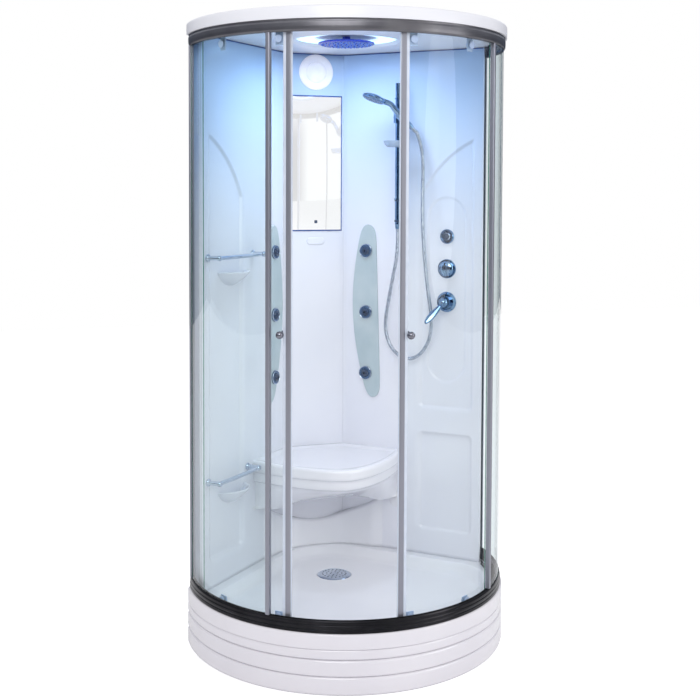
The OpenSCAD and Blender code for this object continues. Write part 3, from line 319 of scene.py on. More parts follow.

# %% [markdown]
# The plastics are near white with a clear coat. The walls' colour turns bluer towards the lit roof: painted
# light, the blue cast of the roof lamp. Metals differ in colour and in how matt they are.

# %% Plastic and metal finishes
POLISHED = dict(metal=1.0, cloud=30, grain=500)
acrylic = finish("white_acrylic", (238, 238, 243), (232, 232, 238), (0.10, 0.18), coat=0.4, cloud=3,
                 grain=140, bump=0.03)
# A darker copy of the white acrylic for the upright lip and skirt: painted shade.
shaded_skirt_white = finish("skirt_acrylic_painted_shade", (224, 221, 226), (217, 214, 220), (0.12, 0.2), coat=0.6, cloud=3,
                     grain=140, bump=0.03)
# The walls' blue towards the top is painted light, the roof lamp's cast.
wall_white = finish("wall_acrylic", (236, 236, 243), (228, 229, 238), (0.12, 0.2), coat=0.5, cloud=2,
                    grain=120, bump=0.03, painted_lamp_tint=(1.2, 2.15, (168, 198, 238)))
roof_white = finish("roof_plastic", (226, 226, 231), (220, 221, 227), (0.25, 0.35), cloud=4)
chrome = finish("chrome", (214, 222, 234), (184, 196, 214), (0.05, 0.12), **POLISHED)
blue_chrome = finish("blue_chrome", (152, 180, 208), (110, 140, 176), (0.05, 0.12), **POLISHED)
knob_dark = finish("knob_dark", (150, 150, 158), (112, 112, 122), (0.04, 0.09), **POLISHED)
hose_metal = finish("hose_metal", (196, 202, 212), (158, 166, 180), (0.12, 0.2), metal=0.9, cloud=60,
                    grain=500)
satin_alu = finish("satin_aluminium", (160, 161, 170), (138, 139, 150), (0.28, 0.42), metal=0.7, cloud=14,
                   grain=900, bump=0.05, stretch=(1, 1, 0.04))
rail_grey = finish("rail_anodised", (118, 117, 121), (102, 101, 106), (0.26, 0.4), metal=0.8, cloud=12,
                   grain=900, bump=0.04)
dark_rail = finish("dark_anodised", (46, 45, 48), (28, 28, 31), (0.16, 0.3), metal=0.85, cloud=10, grain=700)
steel = finish("galvanised_steel", (168, 172, 178), (132, 138, 146), (0.35, 0.6), metal=0.9, cloud=60,
               grain=260, bump=0.15)
brass = finish("raw_brass", (200, 166, 92), (168, 132, 66), (0.25, 0.45), metal=1.0, cloud=50, bump=0.1)
grey_pipe = finish("pipe_plastic", (222, 219, 208), (206, 202, 190), (0.35, 0.5), cloud=20, grain=200,
                   bump=0.08)
jet_skin = finish("jet_panel_plastic", (188, 201, 206), (174, 190, 197), (0.18, 0.28), coat=0.3, cloud=9,
                  grain=240)
smoke = finish("smoked_plastic", (62, 78, 104), (44, 58, 84), (0.15, 0.25), coat=0.5, cloud=30)
jet_face = finish("jet_face", (78, 104, 138), (58, 84, 118), (0.15, 0.25), metal=0.5, coat=0.4, cloud=40,
                  grain=400)
hanger_grey = finish("hanger_plastic", (176, 194, 222), (160, 180, 212), (0.3, 0.45), cloud=40)
nylon = finish("wheel_nylon", (228, 226, 218), (214, 212, 204), (0.3, 0.45), cloud=40)
# The silvered face glows white: painted reflection of the bright surround.
mirror_painted_glow = finish("silvered_glass_painted_glow", (150, 152, 154), (146, 149, 151), (0.01, 0.03), metal=1.0, cloud=5,
                     grain=60, bump=0.0, glow=(1, 1, 1, 1), glow_power=0.72)
mirror_edge = finish("mirror_edge", (44, 84, 158), (36, 70, 138), (0.1, 0.2), coat=0.5, cloud=20)
blue_face = finish("shower_blue", (26, 66, 206), (14, 44, 168), (0.2, 0.35), coat=0.4, cloud=40, grain=400)
cyan_light = finish("roof_light", (200, 236, 250), (188, 228, 246), (0.3, 0.4), glow=srgb(188, 224, 255),
                    glow_power=1.3)
lens_white = finish("lamp_lens", (236, 236, 246), (226, 227, 240), (0.12, 0.2), coat=0.3, cloud=30,
                    glow=srgb(240, 240, 255), glow_power=0.12)
spray_grey = finish("spray_plate", (70, 98, 138), (52, 78, 118), metal=0.3, cloud=60, grain=500)
nozzle_rubber = finish("nozzle_rubber", (176, 190, 208), (150, 166, 190), (0.5, 0.65), cloud=80, grain=500)
blue_nozzle = finish("blue_nozzle", (96, 150, 240), (70, 120, 226), (0.4, 0.5), cloud=80, grain=500)
jet_dot = finish("jet_dots", (150, 176, 206), (120, 150, 186), (0.3, 0.4), cloud=80, grain=500)
# Dark blue for the line where the walls meet the ceiling: painted shade.
shade_line_blue = finish("shade_line_blue", (40, 78, 160), (30, 62, 138), (0.3, 0.4), cloud=30)
clear_plastic = finish("clear_plastic", (206, 224, 242), (186, 208, 234), (0.06, 0.12), coat=0.6, cloud=12)
plug(clear_plastic.node_tree, clear_plastic.node_tree.nodes["Principled BSDF"], {"Transmission Weight": 0.5})
seal_pale = finish("pale_seal", (206, 213, 226), (194, 203, 218), (0.35, 0.5), cloud=30, grain=400, bump=0.05)
print("finishes:", len(bpy.data.materials))

# %% [markdown]
# The panes are thin curved safety glass. Real refraction would bend nothing at 5 mm and slow the render,
# so a pane lets light straight through and mirrors more of it at a shallow angle. The ends of a pane
# look green, because there one looks through the width of the glass.

# %% Glass finish
def glass_finish(name, r_in, r_out, tint):
    """Clear and glossy mixed by Fresnel on front faces.

    It turns green at the ends, where the radius of a point lies inside the glass."""
    mat, tree = new_tree(name)
    tree.nodes.clear()
    coord = node(tree, "TexCoord").outputs["Object"]
    smear = node(tree, "TexNoise", {"Vector": coord, "Scale": 8.0}).outputs["Fac"]
    spread = node(tree, "MapRange", {"Value": smear, "To Min": 0.0, "To Max": 0.04})
    clear = node(tree, "BsdfTransparent", {"Color": tint})
    shine = node(tree, "BsdfGlossy", {"Color": (1, 1, 1, 1), "Roughness": spread.outputs["Result"]})
    fresnel = node(tree, "Fresnel", {"IOR": 1.35})
    back = node(tree, "NewGeometry").outputs["Backfacing"]
    front = node(tree, "Math", {0: 1.0, 1: back}, operation="SUBTRACT")
    share = node(tree, "Math", {0: fresnel.outputs["Fac"], 1: front.outputs["Value"]}, operation="MULTIPLY")
    pane = node(tree, "MixShader", {"Fac": share.outputs["Value"], 1: clear.outputs["BSDF"],
                                    2: shine.outputs["BSDF"]})
    flat = node(tree, "VectorMath", {0: coord, 1: (1, 1, 0)}, operation="MULTIPLY")
    radius = node(tree, "VectorMath", {0: flat.outputs["Vector"]}, operation="LENGTH")
    inner = node(tree, "Math", {0: radius.outputs["Value"], 1: (r_in + r_out) / 2,
                                2: (r_out - r_in) / 2 - 0.0008}, operation="COMPARE")
    edge = node(tree, "BsdfPrincipled", {"Base Color": srgb(70, 128, 112), "Roughness": 0.1})
    whole = node(tree, "MixShader", {"Fac": inner.outputs["Value"], 1: pane.outputs["Shader"],
                                     2: edge.outputs["BSDF"]})
    node(tree, "OutputMaterial", {"Surface": whole.outputs["Shader"]})
    return mat


fixed_glass = glass_finish("fixed_pane_glass", 0.5465, 0.5515, srgb(250, 253, 253))
door_glass = glass_finish("door_pane_glass", 0.5285, 0.5335, srgb(251, 253, 253))
for word in ("left", "right"):
    wear(word + "_fixed_glass", fixed_glass)
    wear(word + "_door_glass", door_glass)
print("panes finished: 4")

# %% [markdown]
# The hose comes first of the real pieces, because it is a loose one: it hangs from the nut under the
# slide bar, swings in a slack loop below the controls and climbs to the hand shower. It is a metal
# spiral hose, so its tube swells and narrows every 4 mm along its length.

# %% Hose
HOSE_R, HOSE_PITCH, HOSE_STEP = 0.007, 0.004, 0.001
NUT_Z, GRIP_OFF, GRIP_TAIL = 1.43695, 0.038, 0.06005
AIM, RISE = math.radians(-138.7), math.radians(45)
lean = np.array([math.cos(AIM) * math.cos(RISE), -math.sin(AIM) * math.cos(RISE), math.sin(RISE)])
beside = np.array([-math.sin(AIM), -math.cos(AIM), 0])
hose_start = np.array([BAR_U, BAR_S, NUT_Z])
hose_tip = np.array([BAR_U, BAR_S, HOLDER_Z]) + GRIP_OFF * beside - GRIP_TAIL * lean
loop = mm([73, 55, 1365], [66, 54, 1310], [52, 52, 1243], [36, 50, 1165], [24, 48, 1095], [24, 44, 1040],
          [42, 40, 990], [76, 36, 956], [116, 32, 946], [157, 28, 966], [189, 26, 1015], [201, 26, 1071],
          [198, 28, 1138], [190, 32, 1200], [179, 38, 1312], [172, 44, 1440], [170, 45, 1560],
          [169, 39, 1670], [160, 36, 1740])
down = np.array([0, 0, 2 * HOSE_R])
route = np.concatenate([[hose_start, hose_start - down, hose_start - 2 * down], loop,
                        [hose_tip - 4 * HOSE_R * lean, hose_tip - 2 * HOSE_R * lean, hose_tip]])
coarse = spline(route, 900)
run = np.concatenate([[0], np.cumsum(np.linalg.norm(np.diff(coarse, axis=0), axis=1))])
steps = np.linspace(0, run[-1], int(run[-1] / HOSE_STEP))
fine = wall_point(*(np.interp(steps, run, coarse[:, k]) for k in range(3)))
ribs = HOSE_R * (0.95 + 0.05 * np.cos(2 * math.pi * steps / HOSE_PITCH))
shower_hose = skin("hose", tube(fine, ribs, 14, upright=(0.55, 0.62, 0.12)), hose_metal,
                   replaces=("shower_hose",), smooth=60)

# %% [markdown]
# Tray, skirt and roof share one outline: a circle about the door axis, cut by the two back walls and by
# the room corner. As a ring of points with rounded corners it can be stacked: each ring of the stack has
# its own size and height, and the skin between them is the moulding.

# %% The cabin's outline as a ring
def plan_ring(r, d, b, f, z, arc_n=150, fil_n=8, line_n=22):
    """Front arc of radius r, then fillets f to the wall lines (d from the axis) and the back line y = b."""
    r, d, b, f, z = [np.atleast_1d(np.asarray(v, float))[:, None] for v in (r, d, b, f, z)]
    q = math.sqrt(0.5)
    reach = np.sqrt(np.maximum((r - f) ** 2 - (d - f) ** 2, 0))
    c1x, c1y = (d - f) * q + reach * q, (d - f) * q - reach * q
    phi = np.arctan2(c1y, c1x)
    c2x, c2y = ((d - f) - (b - f) * q) / q, b - f
    t = np.linspace(0, 1, arc_n + 1)[None]
    a = (math.pi - phi) + t * (math.pi + 2 * phi)
    k = np.linspace(0, 1, fil_n + 1)[None]
    a1 = phi + k[:, 1:] * (math.pi / 4 - phi)
    a2 = math.pi / 4 + k * (math.pi / 4)
    m = np.linspace(0, 1, line_n + 1)[None, 1:-1]
    half_x, half_y = [], []
    for half, c1, c2, way in ((half_x, c1x, c2x, np.cos), (half_y, c1y, c2y, np.sin)):
        first, last = c1 + f * way(a1), c2 + f * way(a2)
        half += [first, first[:, -1:] + m * (last[:, :1] - first[:, -1:]), last]
    half_x, half_y = np.concatenate(half_x, axis=1), np.concatenate(half_y, axis=1)
    x = np.concatenate([r * np.cos(a), half_x, -half_x[:, ::-1]], axis=1)[:, :-1]
    y = np.concatenate([r * np.sin(a), half_y, half_y[:, ::-1]], axis=1)[:, :-1]
    return np.stack([x, y, np.broadcast_to(z, x.shape)], axis=-1)


def rings(r, d, b, f, table):
    """A ring for each (inset, z) of the table: every size shrinks by the inset."""
    inset, z = np.asarray(table, float).T
    return plan_ring(r - inset, d - inset, b - inset, np.full(len(z), f), z)


print("ring points:", plan_ring(0.5, 0.4, 0.5, 0.02, 0).shape[1])

# %% [markdown]
# The tray is one sheet of acrylic: a lip that hangs over the skirt, a flat rim for the rail and the
# walls, a soft bend into the basin, and a floor that falls gently to the drain. Its underside follows
# the same rings a sheet's thickness lower.

# %% Tray
TRAY_T, BASIN, FILLET = 0.006, (0.508, 0.302, 0.347, 0.15), 0.010
FLOOR_Z, DRAIN_Z, LEDGE_Z, UNDER_Z = 0.158, 0.1562, 0.1535, 0.149
DRAIN_R, HOLE_R = 0.0655, 0.0632
lip = mm((0, 148), (0, 189.5), (0.4, 192.2), (1.9, 194.5), (4.2, 195.7), (6.8, 196))
edge = mm((-8, 196), (-3, 195.8), (0, 195), (3, 192.6), (6.5, 188), (11.5, 180), (17, 171.5), (22.5, 165),
          (29, 161), (37, 159), (47, 158.3), (60, 158))
outer = rings(RIM_R, WALL_OUT, BACK_Y, FILLET, lip)
inner = rings(*BASIN, edge)
drain = np.array([0.0, 0.120])


def floor_rings(last, radius, z0, z1, count):
    """The floor's rings turn from the basin's outline into the circle of the drain, point by point."""
    goal = drain + radius * unit(last[:, :2] - drain)
    t = np.linspace(0, 1, count + 1)[1:, None, None]
    xy = (1 - t) * last[None, :, :2] + t * goal[None]
    z = np.broadcast_to(z0 + (z1 - z0) * t ** 1.3, xy[..., :1].shape)
    return np.concatenate([xy, z], axis=-1)


floor_top = floor_rings(inner[-1], DRAIN_R, FLOOR_Z, DRAIN_Z, 10)
well = floor_rings(inner[-1], HOLE_R, LEDGE_Z, LEDGE_Z, 1)
under_hole = floor_rings(inner[-1], HOLE_R, UNDER_Z, UNDER_Z, 1)
under = np.concatenate([inner, floor_top])[::-1].copy()
under[..., 2] -= TRAY_T
shell = rings(RIM_R - TRAY_T, WALL_OUT - TRAY_T, BACK_Y - TRAY_T, 0.005, mm((4, 190), (0, 186), (0, 148)))
tray = skin("shower_tray", np.concatenate([outer, inner, floor_top, well, under_hole, under, shell]),
            acrylic, shaded_skirt_white, ends="loop", replaces=("tray",), smooth=35)
# The outer lip's upright faces get the darker skirt white: painted shade.
for face in tray.data.polygons:
    x, y, z = face.center
    face.material_index = 1 if math.hypot(x, y) > 0.556 and z < TRAY_H else 0

# %% [markdown]
# The skirt is a strip with three ribs, each rounded over at its top edge where the light catches it, and
# drawn in at its foot. The strip's section is a closed loop carried round the front arc.

# %% Skirt
SKIRT_H, SKIRT_T = TRAY_H - 0.048, 0.012
rib_edges = [0.0, 0.4 * SKIRT_H, 0.765 * SKIRT_H, SKIRT_H]


def rib_section():
    """Inset by height: 6 mm at the foot, none over the middle, and a quarter ellipse of 9 mm at the top."""
    parts = []
    for z0, z1 in zip(rib_edges[:-1], rib_edges[1:]):
        tall = (z1 - z0) * 1000
        h = np.concatenate([np.linspace(0, 7, 5), np.linspace(12, tall - 11, 4),
                            tall - 10 + 9.6 * np.sin(np.linspace(0, QUARTER, 9))])
        foot = 6 * np.clip(1 - h / 7, 0, 1) ** 2
        top = 9 * (1 - np.sqrt(np.maximum(1 - np.clip((h - (tall - 10)) / 9.6, 0, 1) ** 2, 0)))
        parts.append(np.stack([RIM_R - (foot + top) / 1000, z0 + h / 1000], axis=1))
    return np.concatenate(parts + [[[RIM_R - SKIRT_T, SKIRT_H], [RIM_R - SKIRT_T, 0.0]]])


def along_arc(section, a0, a1, count):
    """Section points (radius, z) at every angle: (r sin a, -r cos a, z)."""
    a = np.radians(np.linspace(a0, a1, count))[:, None]
    r, z = section[None, :, 0], section[None, :, 1]
    return np.stack([r * np.sin(a), -r * np.cos(a), np.broadcast_to(z, (count, len(section)))], axis=-1)


# The skirt wears the darker white: painted shade.
skin("ribbed_skirt", along_arc(rib_section(), -END_A + 0.05, END_A - 0.05, 181), shaded_skirt_white,
     replaces=("apron",), smooth=50)

# %% [markdown]
# The roof is made the same way as the tray: a white rim with a rounded top edge, open above like a tray
# upside down, with a flat ceiling below and a round recess for the light and the overhead shower.

# %% Roof
def circle_rings(table, like):
    """Rings of (radius, z) round the door axis, with as many points as the outline and facing them."""
    r, z = np.asarray(table, float).T[:, :, None, None]
    xy = r * unit(like[:, :2])[None]
    return np.concatenate([xy, np.broadcast_to(z, xy[..., :1].shape)], axis=-1)


CEIL_R = 0.5157
ceiling = plan_ring([CEIL_R] * 2, [WALL_OUT] * 2, [BACK_Y] * 2, [FILLET] * 2, [CEIL_Z, ROOF_Z])
dome = circle_rings(mm((14.3, 2122.2), (60, 2122.2), (174, 2122), (180, 2120.5), (183.5, 2117), (186, 2110),
                       (190, 2106.2), (197, 2105.1)), ceiling[0])
rim = rings(RIM_R, WALL_OUT, BACK_Y, FILLET,
            mm((0, 2110), (0, 2142.5), (0.6, 2145.5), (2.2, 2148), (4.6, 2149.6), (7.5, 2150), (42, 2150),
               (44.5, 2149), (46, 2146.5), (47, 2118), (50, 2115.5)))
top_side = circle_rings(mm((210, 2115.5), (196, 2126.5), (186, 2127.5), (14.3, 2127.5)), ceiling[0])
skin("white_roof", np.concatenate([dome, ceiling, rim, top_side]), roof_white, ends="loop",
     replaces=("roof",), smooth=35)

# %% [markdown]
# A back wall is vacuum-formed: a flat sheet with shallow recesses pressed into it, bent round at its front
# edge into a fluted upright and ending in a flange for the glass profile. Its section along the wall is
# one line of (u, s) points, and each recess is a signed distance: below zero inside, so a smooth step of
# it gives the depth with a soft edge of any width.

# %% Wall section and recess depths
def polar_us(r, a):
    """A point at radius r and angle a from the middle of the front, as (u, s) on a wall."""
    a = np.radians(a)
    x, y = r * np.sin(a), -r * np.cos(a)
    return np.stack([(x - y) / math.sqrt(2), INNER_D - (x + y) / math.sqrt(2)], axis=-1)


EDGE_R, FOLD, TURN = 0.005, 0.05, math.radians(22.5)
CUT = FOLD * math.tan(TURN)
JOINT_U = (JOINT_X - CORNER_Y) / math.sqrt(2)
FACE_END = math.sqrt((WALL_EDGE - EDGE_R) ** 2 - (INNER_D + EDGE_R) ** 2)
BEND_A = 135 - math.degrees(math.acos((INNER_D + EDGE_R) / (WALL_EDGE - EDGE_R)))
RECESS, CONTROL = (0.146, 0.352), (0.1725, 0.3215)
LOW_Z, LOW_TOP, HIGH_Z, HIGH_TOP, LEFT_TOP = 0.298, 0.663, 0.764, 1.846, 0.806
DISC_U, DISC_Z, DISC_R = 0.528, 1.388, 0.418
SINK, SINK_EDGE = 0.008, 0.012


def wall_section(u_rows):
    """Half of the fold by the column, the flat face at u_rows, the bend, three flutes and the flange."""
    k = 1 - np.linspace(0, 1, 7)[:-1]
    bend = np.stack([JOINT_U + CUT - FOLD * np.sin(TURN * k), FOLD * (1 - np.cos(TURN * k))], axis=1)
    flat = np.stack([u_rows, np.zeros_like(u_rows)], axis=1)
    t = np.linspace(0, 1, 9)[1:, None]
    p0, p1, p2 = np.array([FACE_END, 0.0]), np.array([FACE_END + EDGE_R, 0.0]), polar_us(WALL_EDGE, BEND_A)
    corner = (1 - t) ** 2 * p0 + 2 * t * (1 - t) * p1 + t ** 2 * p2
    a = np.linspace(BEND_A, FLANGE_A, 64)[1:]
    starts = BEND_A + 1 + np.arange(3) * (FLANGE_A - BEND_A - 2) / 2.6
    wave = sum(0.003 * np.sin(np.clip((a - start) / 1.1, 0, 1) * math.pi) for start in starts)
    front = polar_us(WALL_EDGE - wave, a)
    flange = polar_us(np.linspace(WALL_EDGE + 0.001, RAIL_R - 0.002, 5), FLANGE_A)
    return np.concatenate([bend, flat, corner, front, flange])


def box_distance(u, z, u0, u1, z0, z1, r=0.014):
    """Signed distance to a rectangle with corners of radius r."""
    qx = np.abs(u - (u0 + u1) / 2) - (u1 - u0) / 2 + r
    qy = np.abs(z - (z0 + z1) / 2) - (z1 - z0) / 2 + r
    return np.hypot(np.maximum(qx, 0), np.maximum(qy, 0)) + np.minimum(np.maximum(qx, qy), 0) - r


def pressed(distance, depth, width):
    """Depth inside, nothing outside, and a smooth step as wide as width between them."""
    return depth * smooth_step(0.5 - distance / width)


def upper_recess(u, z):
    """A tall rectangle whose top follows a big circle; below the circle's middle its edge is straight."""
    disc = np.hypot(u - DISC_U, np.maximum(z - DISC_Z, 0)) - DISC_R
    return np.maximum(box_distance(u, z, *RECESS, HIGH_Z, HIGH_TOP), disc)


def main_depth(u, z, low_top):
    """The upper recess and the low one, which ends at low_top."""
    low = box_distance(u, z, *RECESS, LOW_Z, low_top)
    return pressed(np.minimum(upper_recess(u, z), low), SINK, SINK_EDGE)


def right_depth(u, z):
    """Both recesses, and a shallower one with round ends under the controls."""
    round_end = box_distance(u, z, *CONTROL, 0.863, 1.556, 0.0745)
    return main_depth(u, z, LOW_TOP) + pressed(round_end, 0.005, 0.008)


def left_depth(u, z):
    """One tall recess: the upper shape run together with the low one."""
    return main_depth(u, z, LEFT_TOP)


def marks(edges, spans, low, high, close=0.004, wide=0.014, reach=0.012):
    """Grid lines from low to high: close together within spans and near edges, wide apart elsewhere."""
    p = [low]
    while p[-1] < high - 1e-6:
        near = any(abs(p[-1] - e) < reach for e in edges) or any(a < p[-1] < b for a, b in spans)
        p.append(min(p[-1] + (close if near else wide), high))
    return np.array(p)


WALL_TOP = CEIL_Z - 0.0005
u_rows = marks([*RECESS, *CONTROL], [(0.140, 0.358)], JOINT_U + 0.0215, FACE_END)
z_rows = marks([LOW_Z, LOW_TOP, HIGH_Z, LEFT_TOP], [(0.855, 0.950), (1.470, 1.790)], TRAY_H, WALL_TOP)
print("wall grid:", len(u_rows), "by", len(z_rows))

# %% [markdown]
# Both walls come from that section and their own recesses; the left one is the mirror image.

# %% Walls
def wall_grid(depth, mirror):
    """The section at every height, moved back along its own normal by the recess depth."""
    section = wall_section(u_rows)
    t = unit(np.gradient(section, axis=0))
    u, z = np.meshgrid(section[:, 0], z_rows)
    on_face = (section[:, 1] < 1e-9) & (u[0] > JOINT_U + 0.02) & (u[0] < FACE_END + 1e-6)
    sink = np.where(on_face[None], depth(u, z), 0.0)
    return wall_point(u + sink * t[None, :, 1], section[None, :, 1] - sink * t[None, :, 0], z, mirror)


for word, depth, mirror in (("right", right_depth, 1.0), ("left", left_depth, -1.0)):
    sheet(word + "_wall_sheet", wall_grid(depth, mirror), wall_white, (-mirror, -1, 0),
          replaces=(word + "_wall",), smooth=60)

# %% [markdown]
# The corner column is a narrow flat panel between the walls. Its two upright edges are folded round, so
# wall and column flow into each other; each takes half of the fold.

# %% Corner column
def column_grid():
    """A flat line at y = CORNER_Y whose two ends curve by half of the fold towards the walls."""
    k = np.linspace(0, 1, 7)[1:]
    flat = np.linspace(0, JOINT_X - CUT, 9)
    x = np.concatenate([flat, JOINT_X - CUT + FOLD * np.sin(TURN * k)])
    y = np.concatenate([np.full(len(flat), CORNER_Y), CORNER_Y - FOLD * (1 - np.cos(TURN * k))])
    x, y = np.concatenate([-x[:0:-1], x]), np.concatenate([y[:0:-1], y])
    return profile_grid(x, [(y, z) for z in np.linspace(TRAY_H, WALL_TOP, 60)])


sheet("corner_column", column_grid(), wall_white, (0, -1, 0), replaces=("corner_panel",), smooth=60)

# %% [markdown]
# The seat is one moulding with the column: a shallow dished top, a deep rounded lip, a step, a band, and
# an underside that runs back to an arched crease. Seen from above its front is a wide curve. The surface
# is that curve times a profile, and points that would pass the wall stay on it. A curved panel below it
# closes the corner down to the tray; its hollow top leaves room for the heels.

# %% Seat
SEAT_Z, SEAT_FRONT, SEAT_HALF, UNDER = 0.588, 0.060, 0.2965, 0.034


def seat_front(x):
    """y = -60 + 0.01592 |x|^1.7, in millimetres."""
    return -SEAT_FRONT + 0.00001592 * (np.abs(x) * 1000) ** 1.7


def seat_grid():
    """Rows from the wall over the dish to the lip, down the front, and back under it over the crease."""
    lip_r, slope, foot_r, spread = 0.012, 0.0015, 0.010, QUARTER * 0.97
    x = SEAT_HALF * np.sin(np.linspace(-1, 1, 161) * spread) / math.sin(spread)
    yf, yb = seat_front(x), np.minimum(CORNER_Y, INNER_D * math.sqrt(2) - np.abs(x)) + 0.004
    room = np.maximum(yb - yf - 0.02, 0)
    dish = 0.006 * smooth_step(room / 0.15)
    rows = [(yb + (yf + 0.020 - yb) * t,
             SEAT_Z - dish * smooth_step(t * room / 0.05) * smooth_step((1 - t) * room / 0.03))
            for t in np.linspace(0, 1, 30)]
    lip_h = 0.041 + 0.003 * (x / SEAT_HALF) ** 2
    rows += [(yf + lip_r * (1 - np.sin(a)), SEAT_Z - lip_r * (1 - np.cos(a)))
             for a in np.linspace(0, QUARTER, 9)[1:]]
    rows += [(yf + slope * t, SEAT_Z - lip_r - (lip_h - 0.022) * t) for t in np.linspace(0, 1, 4)[1:]]
    rows += [(yf + slope + foot_r * (1 - np.cos(a)), SEAT_Z - lip_h + foot_r - foot_r * np.sin(a))
             for a in np.linspace(0, QUARTER, 6)[1:]]
    rows += [(yf + inset, SEAT_Z - lip_h - fall)
             for inset, fall in mm((14, 3), (15.5, 10), (16, 22), (16.5, 30), (18, 34), (22, 36.5), (28, 38),
                                   (34, 40))]
    reach = np.maximum(yb - (yf + UNDER), 0)
    base_z, crease_z = SEAT_Z - lip_h - 0.040, 0.434 - 0.034 * np.minimum((x / 0.2) ** 2, 1.0)
    rows += [(yf + UNDER + 0.45 * reach * t, base_z + (crease_z - base_z) * t ** 0.8)
             for t in np.linspace(0, 1, 12)[1:]]
    rows += [(yf + UNDER + reach * t, crease_z + rise)
             for t, rise in ((0.46, 0.001), (0.48, 0.004), (0.52, 0.007), (0.6, 0.010), (0.7, 0.012),
                             (0.85, 0.014), (1.0, 0.014))]
    return profile_grid(x, [(np.minimum(y, yb), z) for y, z in rows])


def panel_grid():
    """Below the seat: y is the soft minimum of column and wall, less 18 mm; the top is a parabola in x."""
    half, soft, rim_r = 0.25, 0.030, 0.010
    x = np.linspace(-half, half, 101)
    wall = INNER_D * math.sqrt(2) - np.abs(x)
    behind = -soft * np.log(np.exp(-CORNER_Y / soft) + np.exp(-wall / soft))
    fade = smooth_step((half - np.abs(x)) / 0.06)
    front = behind - 0.018 * fade + 0.003 * (1 - fade)
    top = 0.297 + 0.073 * (x / 0.2) ** 2
    rows = [(front, TRAY_H + (top - rim_r - TRAY_H) * t) for t in np.linspace(0, 1, 14)]
    rows += [(front + rim_r * (1 - np.cos(a)), top - rim_r + rim_r * np.sin(a))
             for a in np.linspace(0.2, QUARTER, 6)]
    return profile_grid(x, rows + [(front + 0.020, top), (front + 0.034, top)])


sheet("corner_seat", seat_grid(), acrylic, (0, -1, 0.5), replaces=("seat",), smooth=50)
sheet("corner_foot_panel", panel_grid(), acrylic, (0, -1, 0.5), thickness=0.003, smooth=50)

# %% [markdown]
# The shelves are half bowls that stand out of the left wall's tall recess: a ball surface cut level at the
# top, hollowed, with a rounded rim. One skin serves for both, at two heights.

# %% Shelf bowls
def bowl_grid(z_rim):
    """Rings of a cup: radius and depth of the outside, over the rim, and down the inside, cut by the wall."""
    ball_r, up, back, shelf_u, thick = 0.105, 0.050, 0.035, 0.208, 0.0075
    phi = np.linspace(0, math.pi, 49)
    h = np.concatenate([[-0.0545], np.linspace(-0.0535, -0.004, 12), [-0.0015, -0.0003, 0.0, -0.0006, -0.003],
                        np.linspace(-0.008, -0.046, 8), [-0.0475]])
    radius = np.sqrt(np.maximum(ball_r ** 2 - (h - up) ** 2, 0.0))
    radius = np.maximum(radius - thick * smooth_step((np.arange(len(h)) - 12) / 5.0), 0.0)
    radius[[0, -1]] = 0.002
    s = np.maximum(-back + radius[:, None] * np.sin(phi), -0.0115)
    return wall_point(shelf_u + radius[:, None] * np.cos(phi), s, z_rim + h[:, None], -1.0)


for name, z_rim in (("upper_shelf_bowl", 1.295), ("lower_shelf_bowl", 0.520)):
    skin(name, bowl_grid(z_rim), wall_white, smooth=60)

# %% [markdown]
# A low oval pad is moulded on the corner column below the mirror: a rounded outline drawn in and up over
# a few rings.

# %% Column pad
def pad_grid(cx, z0, half_w, half_h, r, rise):
    """Rings of a rounded rectangle, each a little smaller and further out of the column, to a closed face."""
    a = circle(64)
    inset = np.array([0.0, 0.0, 0.15, 0.5, 1.0, 2.0, 0.999 * min(half_w, half_h) / rise]) * rise
    height = np.array([-0.6, 0.5, 0.75, 0.93, 1.0, 1.02, 1.05]) * rise
    rr = np.maximum(r - inset, 0.0005)[:, None]
    wx, wz = (np.maximum(half - inset, 0.0003)[:, None] - rr for half in (half_w, half_h))
    x = cx + np.maximum(wx, 0) * np.sign(np.round(np.cos(a), 6))[None] + rr * np.cos(a)[None]
    z = z0 + np.maximum(wz, 0) * np.sign(np.round(np.sin(a), 6))[None] + rr * np.sin(a)[None]
    return np.stack([x, np.broadcast_to(CORNER_Y - height[:, None], x.shape), z], axis=-1)


skin("oval_pad", pad_grid(0.0, 1.384, 0.036, 0.014, 0.014, 0.003), wall_white, smooth=50)

# %% [markdown]
# The bars in front of the shelves bow out a little in the middle. Each is one tube between two turned
# feet.

# %% Guard rails
def bow(u0, u1, z):
    """A line from foot to foot that stands out from the wall by 44 + 7 (1 - x^2) mm, with x from -1 to 1."""
    x = np.linspace(-1, 1, 81)
    return wall_point((u0 + u1) / 2 + x * (u1 - u0) / 2, 0.044 + 0.007 * (1 - x ** 2), z, -1.0)


bar_r = 0.0068 + 0.0007 * (1 - np.linspace(-1, 1, 81) ** 2)
foot = mm((0, 0), (12.6, 0), (13, 0.8), (13, 5), (12.2, 6.6), (10.5, 7.4), (8.5, 8.2), (8, 12), (8, 40),
          (9.2, 43), (9.8, 48), (9.2, 53), (7, 55.5), (0, 56.5))
for name, u0, u1, z in (("upper_guard", 0.075, 0.368, 1.350), ("lower_guard", 0.110, 0.368, 0.575)):
    skin(name + "_bar", tube(bow(u0, u1, z), bar_r, 20), chrome, smooth=50, replaces=(name + "_rail",))
    for k, u in enumerate((u0, u1), 1):
        at = wall_point(u, 0.0, z, -1.0)
        skin(f"{name}_foot_{k}", turned(foot, at, wall_way(0, 1, 0, -1.0), 40), chrome, ends="free")

# %% [markdown]
# The hand shower is a chrome handle that swells in the grip, bends forward at the neck and opens into a
# flat round head. Its face is a separate grey-blue plate with rings of rubber nozzles. It is drawn in
# the slider's own frame: x is the way the handle leans, y goes from the bar to the handle.

